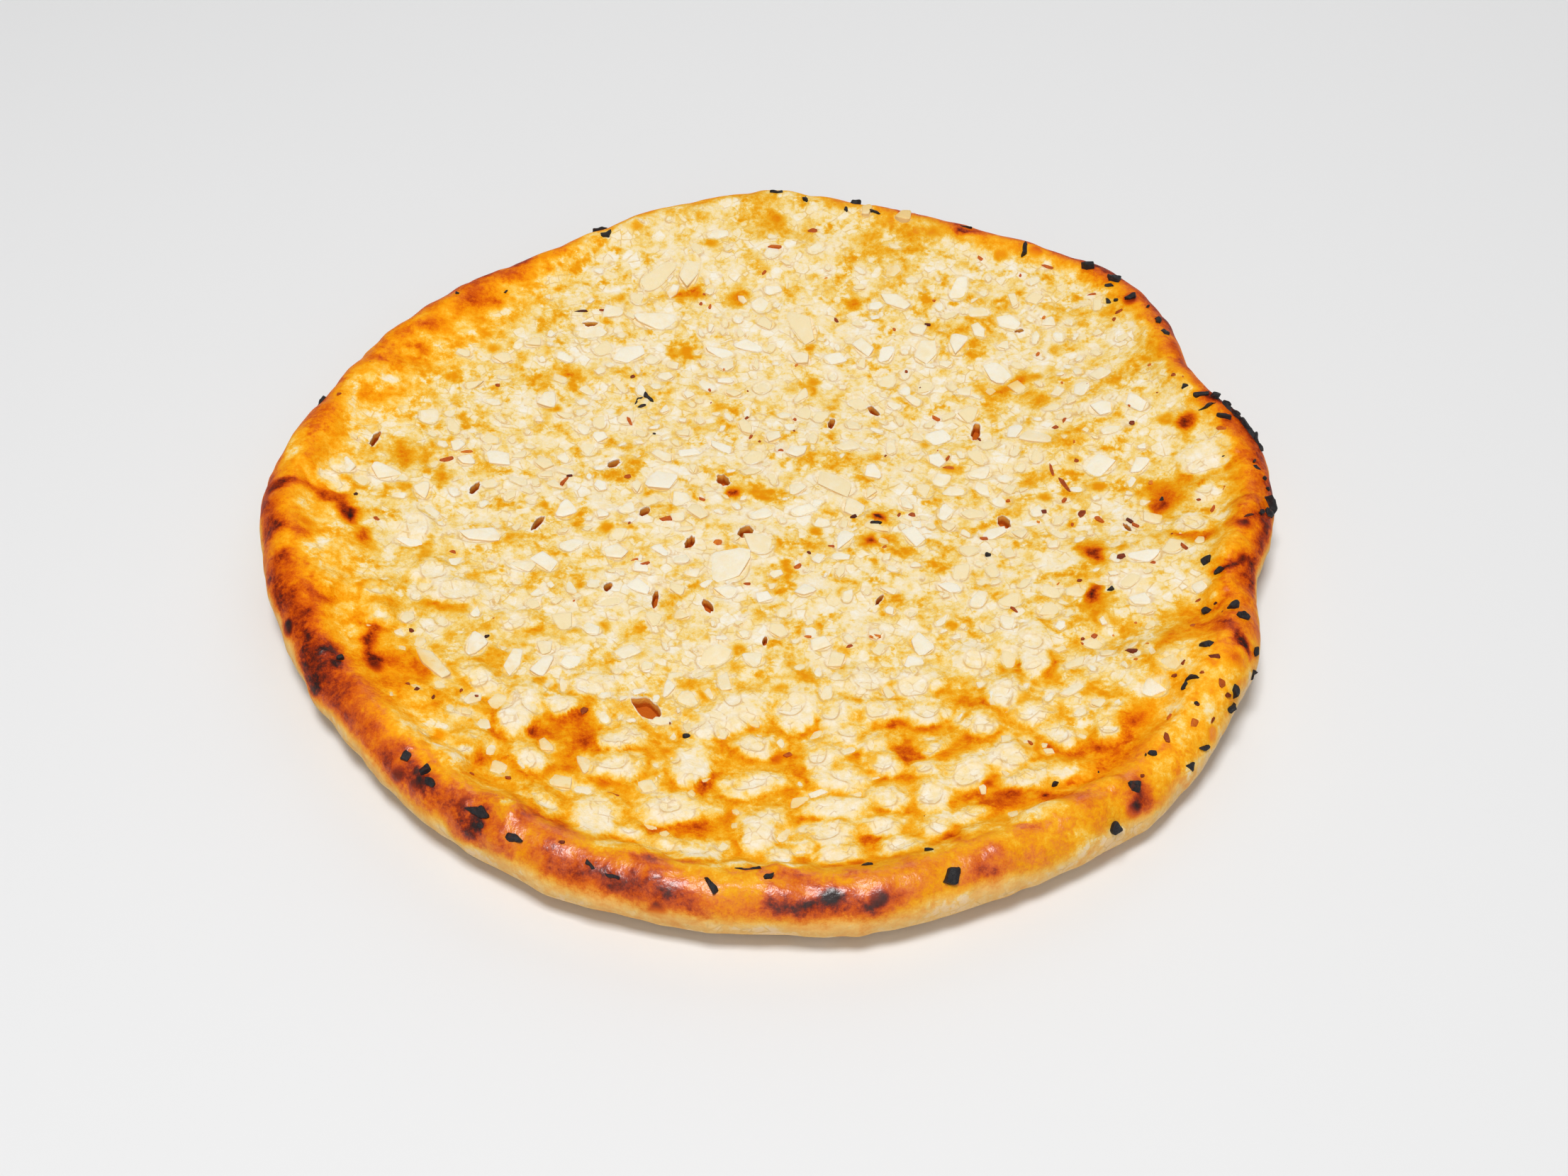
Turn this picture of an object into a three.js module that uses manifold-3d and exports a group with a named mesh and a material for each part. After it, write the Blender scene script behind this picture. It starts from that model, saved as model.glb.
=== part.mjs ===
import * as THREE from 'three';
import { mergeVertices } from 'three/addons/utils/BufferGeometryUtils.js';
import Module from 'manifold-3d';

// A garlic naan: a round flatbread, dished where it has sagged, with a puffed and rolled rim,
// chips of garlic baked into its top, char on its edge and small torn holes in its crust.
// Lengths are in mm and angles in degrees. Angle 0 is to the right and 270 to the front.
// Places are measured from the middle of the outline.

// Outline
const meanRadius = 126.5;
const outlineMiddle = new THREE.Vector3(1.7, -0.6, 0);
const outlineLobes = [
  { at: 8, rise: 1.4, spread: 6 },
  { at: 22, rise: -6, spread: 7 },
  { at: 44, rise: 6.6, spread: 11 },
  { at: 72, rise: -0.5, spread: 8 },
  { at: 92, rise: 3, spread: 10 },
  { at: 125, rise: -3.8, spread: 14 },
  { at: 179, rise: 4, spread: 13 },
  { at: 221, rise: -1.6, spread: 15 },
  { at: 264, rise: 1.6, spread: 15 },
  { at: 280, rise: 2, spread: 7 },
  { at: 306, rise: 2.2, spread: 17 },
  { at: 347, rise: -5.6, spread: 8 },
];

// Section through the bread, from the middle to the rim
const middleThickness = 6;
const levelRadius = 45;
const footRadius = 72;
const dishPower = 1.6;
const crestHeight = 17.5;
const rimThickness = 10;
const frontThicknessExtra = 6;
const rimHalfWidth = 6.5;
const frontWidthExtra = 2;
const rollRise = 0.8;
const frontRollExtra = 3.2;
const edgeDrop = 0.55;

// How far the crest of the rim rises and falls along the edge
const crestWaves = [
  { at: 20, rise: 3, spread: 9 },
  { at: 91, rise: 2, spread: 9 },
  { at: 180, rise: 1.5, spread: 16 },
  { at: 312, rise: -1.5, spread: 14 },
  { at: 331, rise: 2.2, spread: 9 },
  { at: 349, rise: 1.5, spread: 6 },
];

// Puffs and troughs of the crust, each an oval with its long side turned from the X axis
const swells = [
  { x: 99, y: -56, along: 15, across: 11, turn: -50, rise: 2.6 },
  { x: 84, y: -43, along: 20, across: 5, turn: 14, rise: -2.2 },
  { x: 65, y: -99, along: 8, across: 6, turn: 20, rise: 1.8 },
  { x: 80, y: -96, along: 3.5, across: 3.5, turn: 0, rise: 1.8 },
  { x: 106, y: 25, along: 5, across: 4, turn: 90, rise: 1.6 },
  { x: -110, y: -22, along: 26, across: 9, turn: 100, rise: 1.6 },
  { x: -114, y: 10, along: 8, across: 5, turn: 120, rise: -1.4 },
  { x: -52, y: 73, along: 7, across: 4, turn: 8, rise: -1.6 },
  { x: 26, y: 1, along: 4, across: 3, turn: 0, rise: 1 },
];

// Slices of garlic that can be told apart: x, y, length, width, turn
const slices = [
  [-12, -15, 12, 10, 85],
  [-5, -7, 9, 7, -35],
  [-11, -67, 21, 9, 42],
  [-19, -81, 13, 9, 75],
  [15, 15, 12, 6, -40],
  [7, 76, 13, 6, -70],
  [-34, 77, 12, 6, 0],
  [-25, 96, 12, 5, 80],
  [-34, 94, 13, 6, 55],
  [-52, 73, 9, 4.5, 8],
  [-41, 64, 9, 6, 20],
  [5, -63, 9, 8, 90],
  [15, -66, 9, 5, 70],
  [-3, -103, 13, 6, 75],
  [13, -96, 13, 5, 5],
  [12, -105, 8, 8, 0],
  [-40, -99, 11, 9, 80],
  [-22, -98, 13, 8, 10],
  [-5, -88, 10, 6, 15],
  [15, -87, 9, 6, 0],
  [44, -86, 10, 7, 60],
  [62, -47, 15, 6, 85],
  [66, -74, 9, 5, -50],
  [53, -81, 8, 7, 30],
  [66, -86, 13, 6, 0],
  [77, -73, 9, 6, 80],
  [33, -55, 9, 7, 30],
  [20, -55, 9, 7, -60],
  [54, -60, 9, 7, 60],
  [-60, -67, 13, 8, 70],
  [-44, -57, 8, 5, 0],
  [-113, 6, 9, 4.5, -35],
  [-75, -7, 10, 5, 10],
  [-92, -11, 7, 4.5, 0],
  [-30, 16, 8, 7, 60],
  [41, 65, 8, 6, 80],
  [51, 88, 9, 5, 80],
  [60, 56, 9, 6, -60],
  [84, 18, 8, 7, 30],
  [111, 13, 10, 3.5, 15],
  [91, -18, 8, 4, -5],
  [38, 121, 8, 6, 80],
  [-82, -52, 13, 4, -50],
];

// Smaller chips, spread on a sunflower spiral: the largest come first
const chipCount = 104;
const chipSpread = 108;
const chipLength = { largest: 8.5, smallest: 4.6 };
const chipShuffle = 37;
const chipDrift = 3;
const chipCrowding = 0.3;
const chipSeed = 27;

const sliceThickness = { proud: 1.1, sunk: 1.8 };
const sliceTaper = { top: 0.8, bottom: 1.05 };
const sliceCorners = 8;
const chipCorners = 6;

// Black flakes on and near the rim: x, y, size
const charFlakes = [
  [123, -3, 9],
  [121, 27, 9],
  [118, 36, 8],
  [103, -43, 4],
  [109, -44, 5],
  [101, -53, 5],
  [113, -54, 5],
  [96, -65, 5],
  [107, -68, 5],
  [105, -26, 4],
  [98, -82, 4],
  [75, -105, 5],
  [80, -95, 4],
  [38, -119, 6],
  [20, -115, 4],
  [-14, -121, 4],
  [-57, -109, 5],
  [-66, -102, 6],
  [-78, -91, 4],
  [-83, -87, 3.5],
  [-122, 37, 4],
  [-50, 117, 4],
  [8, 125, 4],
  [25, 126, 4],
  [70, 103, 5],
  [90, 92, 5],
  [94, 84, 5],
  [103, 65, 5],
];
const charThickness = { proud: 1.3, sunk: 1.4 };
const charTaper = { top: 0.6, bottom: 1 };
const charCorners = 5;

// Torn holes in the top crust: x, y, length, width, turn
const pits = [
  [-30, -64, 9, 6, -50],
  [-14, 16, 5.5, 4, -60],
  [-34, 4, 4, 2.5, 60],
  [-22, -7, 5, 2.6, 70],
  [-8, -3, 5, 4, 50],
  [-43, 22, 4.5, 2.6, 45],
  [-78, 10, 5.5, 2.2, 70],
  [-61, -1, 6.5, 2, 65],
  [-42, -23, 4, 2.6, 75],
  [-30, -27, 7, 2, 88],
  [-17, -29, 5, 2.6, -65],
  [26, 43, 5.5, 2.6, -50],
  [15, 38, 5, 2.4, 75],
  [53, 34, 6.5, 3, 80],
  [58, 0, 6, 3.4, -75],
  [-104, 24, 7, 2.5, 75],
];
const pitDepth = { above: 1.5, below: 3 };
const pitTaper = { top: 1.1, bottom: 0.6 };
const pitCorners = 8;

// How finely the bread is divided
const edgeSteps = 96;
const innerRings = edgeSteps / 6;
const arcSteps = 6;
const underRings = 2;
const sliverSize = 0.02;
const mergeDistance = 1e-4;
const slopeReach = 2;
const steepestSeat = 0.97;

const wasm = await Module();
wasm.setup();

const radians = THREE.MathUtils.degToRad;
const clamp = THREE.MathUtils.clamp;

// A repeatable random number from 0 to 1
function seededRandom(seed) {
  let state = seed;
  return function next() {
    state = (state + 0x6d2b79f5) | 0;
    let mixed = Math.imul(state ^ (state >>> 15), 1 | state);
    mixed = (mixed + Math.imul(mixed ^ (mixed >>> 7), 61 | mixed)) ^ mixed;
    return ((mixed ^ (mixed >>> 14)) >>> 0) / 4294967296;
  };
}

// The sum of a ring of bell-shaped lobes at an angle
function lobeSum(lobes, angle) {
  let sum = 0;
  for (const lobe of lobes) {
    const away = ((angle - lobe.at + 540) % 360) - 180;
    sum += lobe.rise * Math.exp(-((away / lobe.spread) ** 2));
  }
  return sum;
}

function outlineRadius(angle) {
  return meanRadius + lobeSum(outlineLobes, angle);
}

// The sizes of the rim at an angle. It is thickest, widest and rolled the most at the front
function rimAt(angle) {
  const front = (1 - Math.sin(radians(angle))) / 2;
  const halfWidth = rimHalfWidth + frontWidthExtra * front;
  return {
    crest: crestHeight + lobeSum(crestWaves, angle),
    thickness: rimThickness + frontThicknessExtra * front,
    roll: rollRise + frontRollExtra * front,
    halfWidth,
    crestRadius: outlineRadius(angle) - halfWidth,
  };
}

function swellAt(x, y) {
  let sum = 0;
  for (const swell of swells) {
    const turn = radians(swell.turn);
    const dx = x - swell.x;
    const dy = y - swell.y;
    const along = (dx * Math.cos(turn) + dy * Math.sin(turn)) / swell.along;
    const across = (dy * Math.cos(turn) - dx * Math.sin(turn)) / swell.across;
    sum += swell.rise * Math.exp(-(along ** 2) - across ** 2);
  }
  return sum;
}

// The top of the dish and of the roll, inside the crest of the rim
function crustTop(angle, radius) {
  const rim = rimAt(angle);
  const climb = clamp((radius - levelRadius) / (rim.crestRadius - levelRadius), 0, 1);
  const dish = (rim.crest - rim.roll - middleThickness) * climb ** dishPower;
  const fromCrest = clamp((rim.crestRadius - radius) / rim.halfWidth, 0, 1);
  const roll = (rim.roll * (1 + Math.cos(Math.PI * fromCrest))) / 2;
  const x = radius * Math.cos(radians(angle));
  const y = radius * Math.sin(radians(angle));
  return middleThickness + dish + roll + swellAt(x, y);
}

// The underside: flat on the floor in the middle, and lifting towards the rim
function crustUnder(angle, radius) {
  const rim = rimAt(angle);
  const climb = clamp((radius - footRadius) / (rim.crestRadius - footRadius), 0, 1);
  return (rim.crest - rim.thickness) * climb ** dishPower;
}

function pointAt(angle, radius, height) {
  return new THREE.Vector3(radius * Math.cos(radians(angle)), radius * Math.sin(radians(angle)), height);
}

// One point on the rounded outer edge. The tilt goes from 90 on the crest to -90 underneath
function edgePoint(angle, tilt) {
  const rim = rimAt(angle);
  const edgeHeight = rim.crest - rim.thickness * edgeDrop;
  const end = tilt > 0 ? crustTop(angle, rim.crestRadius) : crustUnder(angle, rim.crestRadius);
  const height = edgeHeight + (end - edgeHeight) * Math.abs(Math.sin(radians(tilt)));
  return pointAt(angle, rim.crestRadius + rim.halfWidth * Math.cos(radians(tilt)), height);
}

// The top of the bread at a place, out to its edge
function topHeight(x, y) {
  const angle = THREE.MathUtils.radToDeg(Math.atan2(y, x));
  const radius = Math.hypot(x, y);
  const rim = rimAt(angle);
  const beyond = (radius - rim.crestRadius) / rim.halfWidth;
  if (beyond <= 0) {
    return crustTop(angle, radius);
  }
  const tilt = THREE.MathUtils.radToDeg(Math.acos(Math.min(beyond, steepestSeat)));
  return edgePoint(angle, tilt).z;
}

// The plain bread, without its garlic, char and holes
function breadGeometry() {
  const points = [];
  const faces = [];

  // The dish is laid out in rings of 6, 12, 18 and so on, so that its triangles are of one size
  points.push(pointAt(0, 0, crustTop(0, 0)));
  const ringStart = [0];
  for (let ring = 1; ring <= innerRings; ring += 1) {
    ringStart.push(points.length);
    for (let step = 0; step < 6 * ring; step += 1) {
      const angle = (360 * step) / (6 * ring);
      const rim = rimAt(angle);
      const radius = ((rim.crestRadius - rim.halfWidth) * ring) / innerRings;
      points.push(pointAt(angle, radius, crustTop(angle, radius)));
    }
  }
  for (let ring = 1; ring <= innerRings; ring += 1) {
    const inside = 6 * (ring - 1);
    const outside = 6 * ring;
    for (let side = 0; side < 6; side += 1) {
      for (let step = 0; step < ring; step += 1) {
        const outer = ringStart[ring] + side * ring + step;
        const nextOuter = ringStart[ring] + ((side * ring + step + 1) % outside);
        const inner = ring === 1 ? 0 : ringStart[ring - 1] + ((side * (ring - 1) + step) % inside);
        faces.push(outer, nextOuter, inner);
        if (step < ring - 1) {
          const nextInner = ringStart[ring - 1] + ((side * (ring - 1) + step + 1) % inside);
          faces.push(nextOuter, nextInner, inner);
        }
      }
    }
  }

  // The roll, the outer edge and the underside are rings of equal count
  const sections = [(angle) => {
    const rim = rimAt(angle);
    const radius = rim.crestRadius - rim.halfWidth / 2;
    return pointAt(angle, radius, crustTop(angle, radius));
  }];
  for (let step = 0; step <= arcSteps; step += 1) {
    sections.push((angle) => edgePoint(angle, 90 - (180 * step) / arcSteps));
  }
  for (let step = 1; step <= underRings; step += 1) {
    sections.push((angle) => {
      const { crestRadius } = rimAt(angle);
      const radius = crestRadius + ((footRadius - crestRadius) * step) / underRings;
      return pointAt(angle, radius, crustUnder(angle, radius));
    });
  }
  let previous = ringStart[innerRings];
  for (const section of sections) {
    const current = points.length;
    for (let step = 0; step < edgeSteps; step += 1) {
      points.push(section((360 * step) / edgeSteps));
    }
    for (let step = 0; step < edgeSteps; step += 1) {
      const next = (step + 1) % edgeSteps;
      faces.push(previous + step, current + step, current + next);
      faces.push(previous + step, current + next, previous + next);
    }
    previous = current;
  }
  const hub = points.length;
  points.push(pointAt(0, 0, 0));
  for (let step = 0; step < edgeSteps; step += 1) {
    faces.push(previous + step, hub, previous + ((step + 1) % edgeSteps));
  }

  const geometry = new THREE.BufferGeometry().setFromPoints(points);
  geometry.setIndex(faces);
  return geometry;
}

// A many-sided plug standing in the crust, tilted with the surface. It reaches above and below
// the crust, and its ends are of different sizes. Its corners stand in and out at random
function plugGeometry({ x, y, length, width, turn, above, below, taper, corners, random }) {
  const geometry = new THREE.CylinderGeometry(taper.top / 2, taper.bottom / 2, above + below, corners);
  geometry.deleteAttribute('normal');
  geometry.deleteAttribute('uv');
  const plug = mergeVertices(geometry, mergeDistance);
  plug.translate(0, (above - below) / 2, 0);
  plug.rotateX(Math.PI / 2);
  const position = plug.attributes.position;
  const stretch = Array.from({ length: corners }, () => 0.85 + 0.3 * random());
  for (let index = 0; index < position.count; index += 1) {
    const turnedTo = Math.atan2(position.getY(index), position.getX(index));
    const corner = Math.round((turnedTo / (2 * Math.PI)) * corners + corners) % corners;
    position.setX(index, position.getX(index) * stretch[corner]);
    position.setY(index, position.getY(index) * stretch[corner]);
  }
  plug.scale(length, width, 1);
  plug.rotateZ(radians(turn));
  const slopeX = (topHeight(x + slopeReach, y) - topHeight(x - slopeReach, y)) / (2 * slopeReach);
  const slopeY = (topHeight(x, y + slopeReach) - topHeight(x, y - slopeReach)) / (2 * slopeReach);
  const normal = new THREE.Vector3(-slopeX, -slopeY, 1).normalize();
  plug.applyQuaternion(new THREE.Quaternion().setFromUnitVectors(new THREE.Vector3(0, 0, 1), normal));
  plug.translate(x, y, topHeight(x, y));
  return plug;
}

function asSolid(geometry) {
  const merged = mergeVertices(geometry, mergeDistance);
  return new wasm.Manifold(new wasm.Mesh({
    numProp: 3,
    vertProperties: new Float32Array(merged.attributes.position.array),
    triVerts: new Uint32Array(merged.index.array),
  }));
}

function garlicSlices() {
  const random = seededRandom(chipSeed);
  const { proud, sunk } = sliceThickness;
  return slices.map(([x, y, length, width, turn]) => asSolid(plugGeometry({
    x, y, length, width, turn, above: proud, below: sunk, taper: sliceTaper, corners: sliceCorners, random,
  })));
}

// A chip is left out where it would crowd a slice or a hole
function isCrowded(x, y, length) {
  return [...slices, ...pits].some(([otherX, otherY, otherLength, otherWidth]) => (
    Math.hypot(x - otherX, y - otherY) < (length + otherLength + otherWidth) * chipCrowding
  ));
}

function garlicChips() {
  const random = seededRandom(chipSeed + 1);
  const goldenTurn = 180 * (3 - Math.sqrt(5));
  const solids = [];
  for (let index = 0; index < chipCount; index += 1) {
    const spot = pointAt(goldenTurn * index, chipSpread * Math.sqrt((index + 0.5) / chipCount), 0);
    const x = spot.x + chipDrift * (random() - 0.5);
    const y = spot.y + chipDrift * (random() - 0.5);
    const rank = ((index * chipShuffle) % chipCount) / chipCount;
    const length = THREE.MathUtils.lerp(chipLength.largest, chipLength.smallest, rank);
    const width = length * THREE.MathUtils.lerp(0.5, 0.85, random());
    const turn = 360 * random();
    const above = sliceThickness.proud * THREE.MathUtils.lerp(0.6, 1, random());
    if (!isCrowded(x, y, length)) {
      const below = sliceThickness.sunk;
      solids.push(asSolid(plugGeometry({
        x, y, length, width, turn, above, below, taper: sliceTaper, corners: chipCorners, random,
      })));
    }
  }
  return solids;
}

function charredFlakes() {
  const random = seededRandom(chipSeed + 2);
  const { proud, sunk } = charThickness;
  return charFlakes.map(([x, y, length]) => {
    const width = length * THREE.MathUtils.lerp(0.55, 0.85, random());
    const turn = 360 * random();
    return asSolid(plugGeometry({
      x, y, length, width, turn, above: proud, below: sunk, taper: charTaper, corners: charCorners, random,
    }));
  });
}

function tornHoles() {
  const random = seededRandom(chipSeed + 3);
  const { above, below } = pitDepth;
  return pits.map(([x, y, length, width, turn]) => asSolid(plugGeometry({
    x, y, length, width, turn, above, below, taper: pitTaper, corners: pitCorners, random,
  })));
}

function naanGeometry() {
  const raised = [asSolid(breadGeometry()), ...garlicSlices(), ...garlicChips(), ...charredFlakes()];
  const whole = wasm.Manifold.union(raised).subtract(wasm.Manifold.union(tornHoles()));
  const largest = whole.decompose().sort((a, b) => b.volume() - a.volume())[0];
  const mesh = largest.simplify(sliverSize).getMesh();
  const geometry = new THREE.BufferGeometry();
  geometry.setAttribute('position', new THREE.BufferAttribute(mesh.vertProperties, 3));
  geometry.setIndex(new THREE.BufferAttribute(mesh.triVerts, 1));
  geometry.computeVertexNormals();
  return geometry;
}

const crustMaterial = new THREE.MeshStandardMaterial({
  color: new THREE.Color('#efc977'),
  roughness: 0.6,
  metalness: 0,
});

const naan = new THREE.Mesh(naanGeometry(), crustMaterial);
naan.name = 'naan';
naan.position.copy(outlineMiddle);

const model = new THREE.Group();
model.add(naan);

export default model;
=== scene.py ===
import math

import bpy
import numpy as np
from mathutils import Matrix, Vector


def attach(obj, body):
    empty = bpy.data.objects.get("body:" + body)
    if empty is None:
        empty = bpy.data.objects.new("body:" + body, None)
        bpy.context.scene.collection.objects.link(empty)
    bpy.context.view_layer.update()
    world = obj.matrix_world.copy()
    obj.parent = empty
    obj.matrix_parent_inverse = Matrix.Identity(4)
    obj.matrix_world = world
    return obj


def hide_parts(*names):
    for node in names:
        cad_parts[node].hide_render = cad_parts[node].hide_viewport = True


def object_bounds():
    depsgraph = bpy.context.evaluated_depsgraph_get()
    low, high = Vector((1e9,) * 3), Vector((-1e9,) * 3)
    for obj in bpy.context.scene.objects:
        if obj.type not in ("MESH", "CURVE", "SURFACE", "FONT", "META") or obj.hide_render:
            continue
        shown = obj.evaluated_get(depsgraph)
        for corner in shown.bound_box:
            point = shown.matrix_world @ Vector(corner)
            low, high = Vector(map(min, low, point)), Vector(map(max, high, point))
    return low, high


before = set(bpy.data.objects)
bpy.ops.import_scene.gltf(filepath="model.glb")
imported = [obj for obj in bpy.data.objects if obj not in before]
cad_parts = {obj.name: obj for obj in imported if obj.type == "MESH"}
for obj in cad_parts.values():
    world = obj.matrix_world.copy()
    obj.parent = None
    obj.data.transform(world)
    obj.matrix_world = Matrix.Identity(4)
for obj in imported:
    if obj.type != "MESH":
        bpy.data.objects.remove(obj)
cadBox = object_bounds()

# garlic naan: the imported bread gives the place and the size, this script the crust and what lies on it
# lengths in mm from the middle of the outline, angles in degrees: 0 right, 90 back, 270 front
mm = 0.001

bread = {
    "middle": (1.7, -0.6),      # where the outline's middle lies in the frame
    "meanRadius": 126.5,
    "lobes": [                  # (angle, how far it stands out, how wide)
        (8, 1.4, 6), (22, -6, 7), (44, 6.6, 11), (72, -0.5, 8), (92, 3, 10), (125, -3.8, 14), (179, 4, 13),
        (221, -1.6, 15), (264, 1.6, 15), (280, 2, 7), (306, 2.2, 17), (347, -5.6, 8),
    ],
    "middleThickness": 6,
    "levelRadius": 45,          # the top is level out to here
    "footRadius": 72,           # the underside lies flat out to here
    "dishPower": 1.6,
    "crestHeight": 17.5,
    "crestWaves": [(20, 3, 9), (91, 2, 9), (180, 1.5, 16), (312, -1.5, 14), (331, 2.2, 9), (349, 1.5, 6)],
    "rimThickness": 10,
    "frontRimExtra": 6,
    "rimHalfWidth": 6.5,
    "frontWidthExtra": 2,
    "rollRise": 0.8,
    "frontRollExtra": 3.2,
    "edgeDrop": 0.55,
    "swells": [                 # (x, y, along, across, turn, rise)
        (99, -56, 15, 11, -50, 2.6), (84, -43, 20, 5, 14, -2.2), (65, -99, 8, 6, 20, 1.8),
        (80, -96, 3.5, 3.5, 0, 1.8), (106, 25, 5, 4, 90, 1.6), (-110, -22, 26, 9, 100, 1.6),
        (-114, 10, 8, 5, 120, -1.4), (-52, 73, 7, 4, 8, -1.6), (26, 1, 4, 3, 0, 1),
    ],
    "topCells": 256,            # squares across the top
    "underCells": 128,
    "underShare": 0.8,          # the lower grid's size against the upper one's, before they are shaped
    "ringDrop": 0.01,           # how far each ring is drawn down, before it is shaped
    "sideRings": 8,
    "liftRings": 3,
    "liftStep": 4,
    "arcLength": 9.5,           # from the crest over to the outermost edge
    "hills": [(0.6, 17, 1), (0.45, 8, 2), (0.24, 3.6, 3)],      # how high, how far apart, seed
    "rimWrinkles": 0.3,
    "footHills": 0.5,           # how flat the hills are on the foot
    "seams": [(300, 1, 26), (238, 0.7, 12)],    # folds low on the side: angle, how deep, how wide
    "seamDepth": 0.9,
    "seamTilt": 38,
    "seamWidth": 9,
    "boxEase": 1.5,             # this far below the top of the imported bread's box, tall places are eased down
    "easeShare": 0.6,
    "boxMargin": 0.01,
    "shadeAngle": 50,
}


def smooth(low, high, value):
    share = np.clip((value - low) / (high - low), 0, 1)
    return share * share * (3 - 2 * share)


def lobeSum(lobes, angle):
    total = np.zeros_like(angle)
    for at, rise, spread in lobes:
        away = (angle - at + 540) % 360 - 180
        total = total + rise * np.exp(-((away / spread) ** 2))
    return total


def outlineRadius(angle):
    return bread["meanRadius"] + lobeSum(bread["lobes"], angle)


def frontShare(angle):
    return (1 - np.sin(np.radians(angle))) / 2


def rimHalfWidth(angle):
    return bread["rimHalfWidth"] + bread["frontWidthExtra"] * frontShare(angle)


def crestRadius(angle):
    return outlineRadius(angle) - rimHalfWidth(angle)


def crestHeight(angle):
    return bread["crestHeight"] + lobeSum(bread["crestWaves"], angle)


def rimThickness(angle):
    return bread["rimThickness"] + bread["frontRimExtra"] * frontShare(angle)


def insetAt(x, y):
    # how far in from the bread's edge a place lies
    return outlineRadius(np.degrees(np.arctan2(y, x))) - np.hypot(x, y)


def alongAxes(x, y, turn):
    # x and y as seen by something that is turned by so many degrees
    c, s = math.cos(math.radians(turn)), math.sin(math.radians(turn))
    return x * c + y * s, y * c - x * s


def ovals(x, y, rows):
    # soft bumps or patches, added up
    total = np.zeros_like(x)
    for atX, atY, along, across, turn, rise in rows:
        u, v = alongAxes(x - atX, y - atY, turn)
        u, v = u / along, v / across
        total = total + rise * np.exp(-u * u - v * v)
    return total


def crustTop(angle, radius):
    # height of the upper crust: a level middle, a dish round it and the rolled rim
    crest = crestRadius(angle)
    rollRise = bread["rollRise"] + bread["frontRollExtra"] * frontShare(angle)
    climb = np.clip((radius - bread["levelRadius"]) / (crest - bread["levelRadius"]), 0, 1)
    dish = (crestHeight(angle) - rollRise - bread["middleThickness"]) * climb ** bread["dishPower"]
    fromCrest = np.clip((crest - radius) / rimHalfWidth(angle), 0, 1)
    roll = rollRise * (1 + np.cos(np.pi * fromCrest)) / 2
    x, y = radius * np.cos(np.radians(angle)), radius * np.sin(np.radians(angle))
    return bread["middleThickness"] + dish + roll + ovals(x, y, bread["swells"])


def crustUnder(angle, radius):
    # height of the underside: flat on the floor in the middle, lifting towards the rim
    crest = crestRadius(angle)
    climb = np.clip((radius - bread["footRadius"]) / (crest - bread["footRadius"]), 0, 1)
    return (crestHeight(angle) - rimThickness(angle)) * climb ** bread["dishPower"]


def edgePlace(angle, tilt):
    # radius and height on the rim's rounded side: tilt 90 is the crest, 0 the outermost edge, -90 the underside
    crest = crestRadius(angle)
    middle = crestHeight(angle) - rimThickness(angle) * bread["edgeDrop"]
    end = np.where(tilt > 0, crustTop(angle, crest), crustUnder(angle, crest))
    lean = np.radians(tilt)
    return crest + rimHalfWidth(angle) * np.cos(lean), middle + (end - middle) * np.abs(np.sin(lean))


def topHeight(x, y):
    # height of the crust over any place, out to the edge
    angle = np.degrees(np.arctan2(y, x)) % 360
    radius = np.hypot(x, y)
    beyond = np.clip((radius - crestRadius(angle)) / rimHalfWidth(angle), 0, 0.97)
    return np.where(beyond > 0, edgePlace(angle, np.degrees(np.arccos(beyond)))[1], crustTop(angle, radius))


def hills(points, size, seed):
    # smooth random hills and hollows from -1 to 1, about size mm apart
    lattice = np.random.default_rng(seed).uniform(-1, 1, (64, 64, 64))
    place = points / size + 1000
    cell = np.floor(place).astype(int)
    share = place - cell
    share = share * share * (3 - 2 * share)
    total = 0
    for corner in range(8):
        step = np.array([corner & 1, corner >> 1 & 1, corner >> 2 & 1])
        weight = np.prod(np.where(step, share, 1 - share), axis=1)
        i, j, k = ((cell + step) % 64).T
        total = total + weight * lattice[i, j, k]
    return total


def crustHills(points):
    return sum(rise * hills(points, size, seed) for rise, size, seed in bread["hills"])


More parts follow.
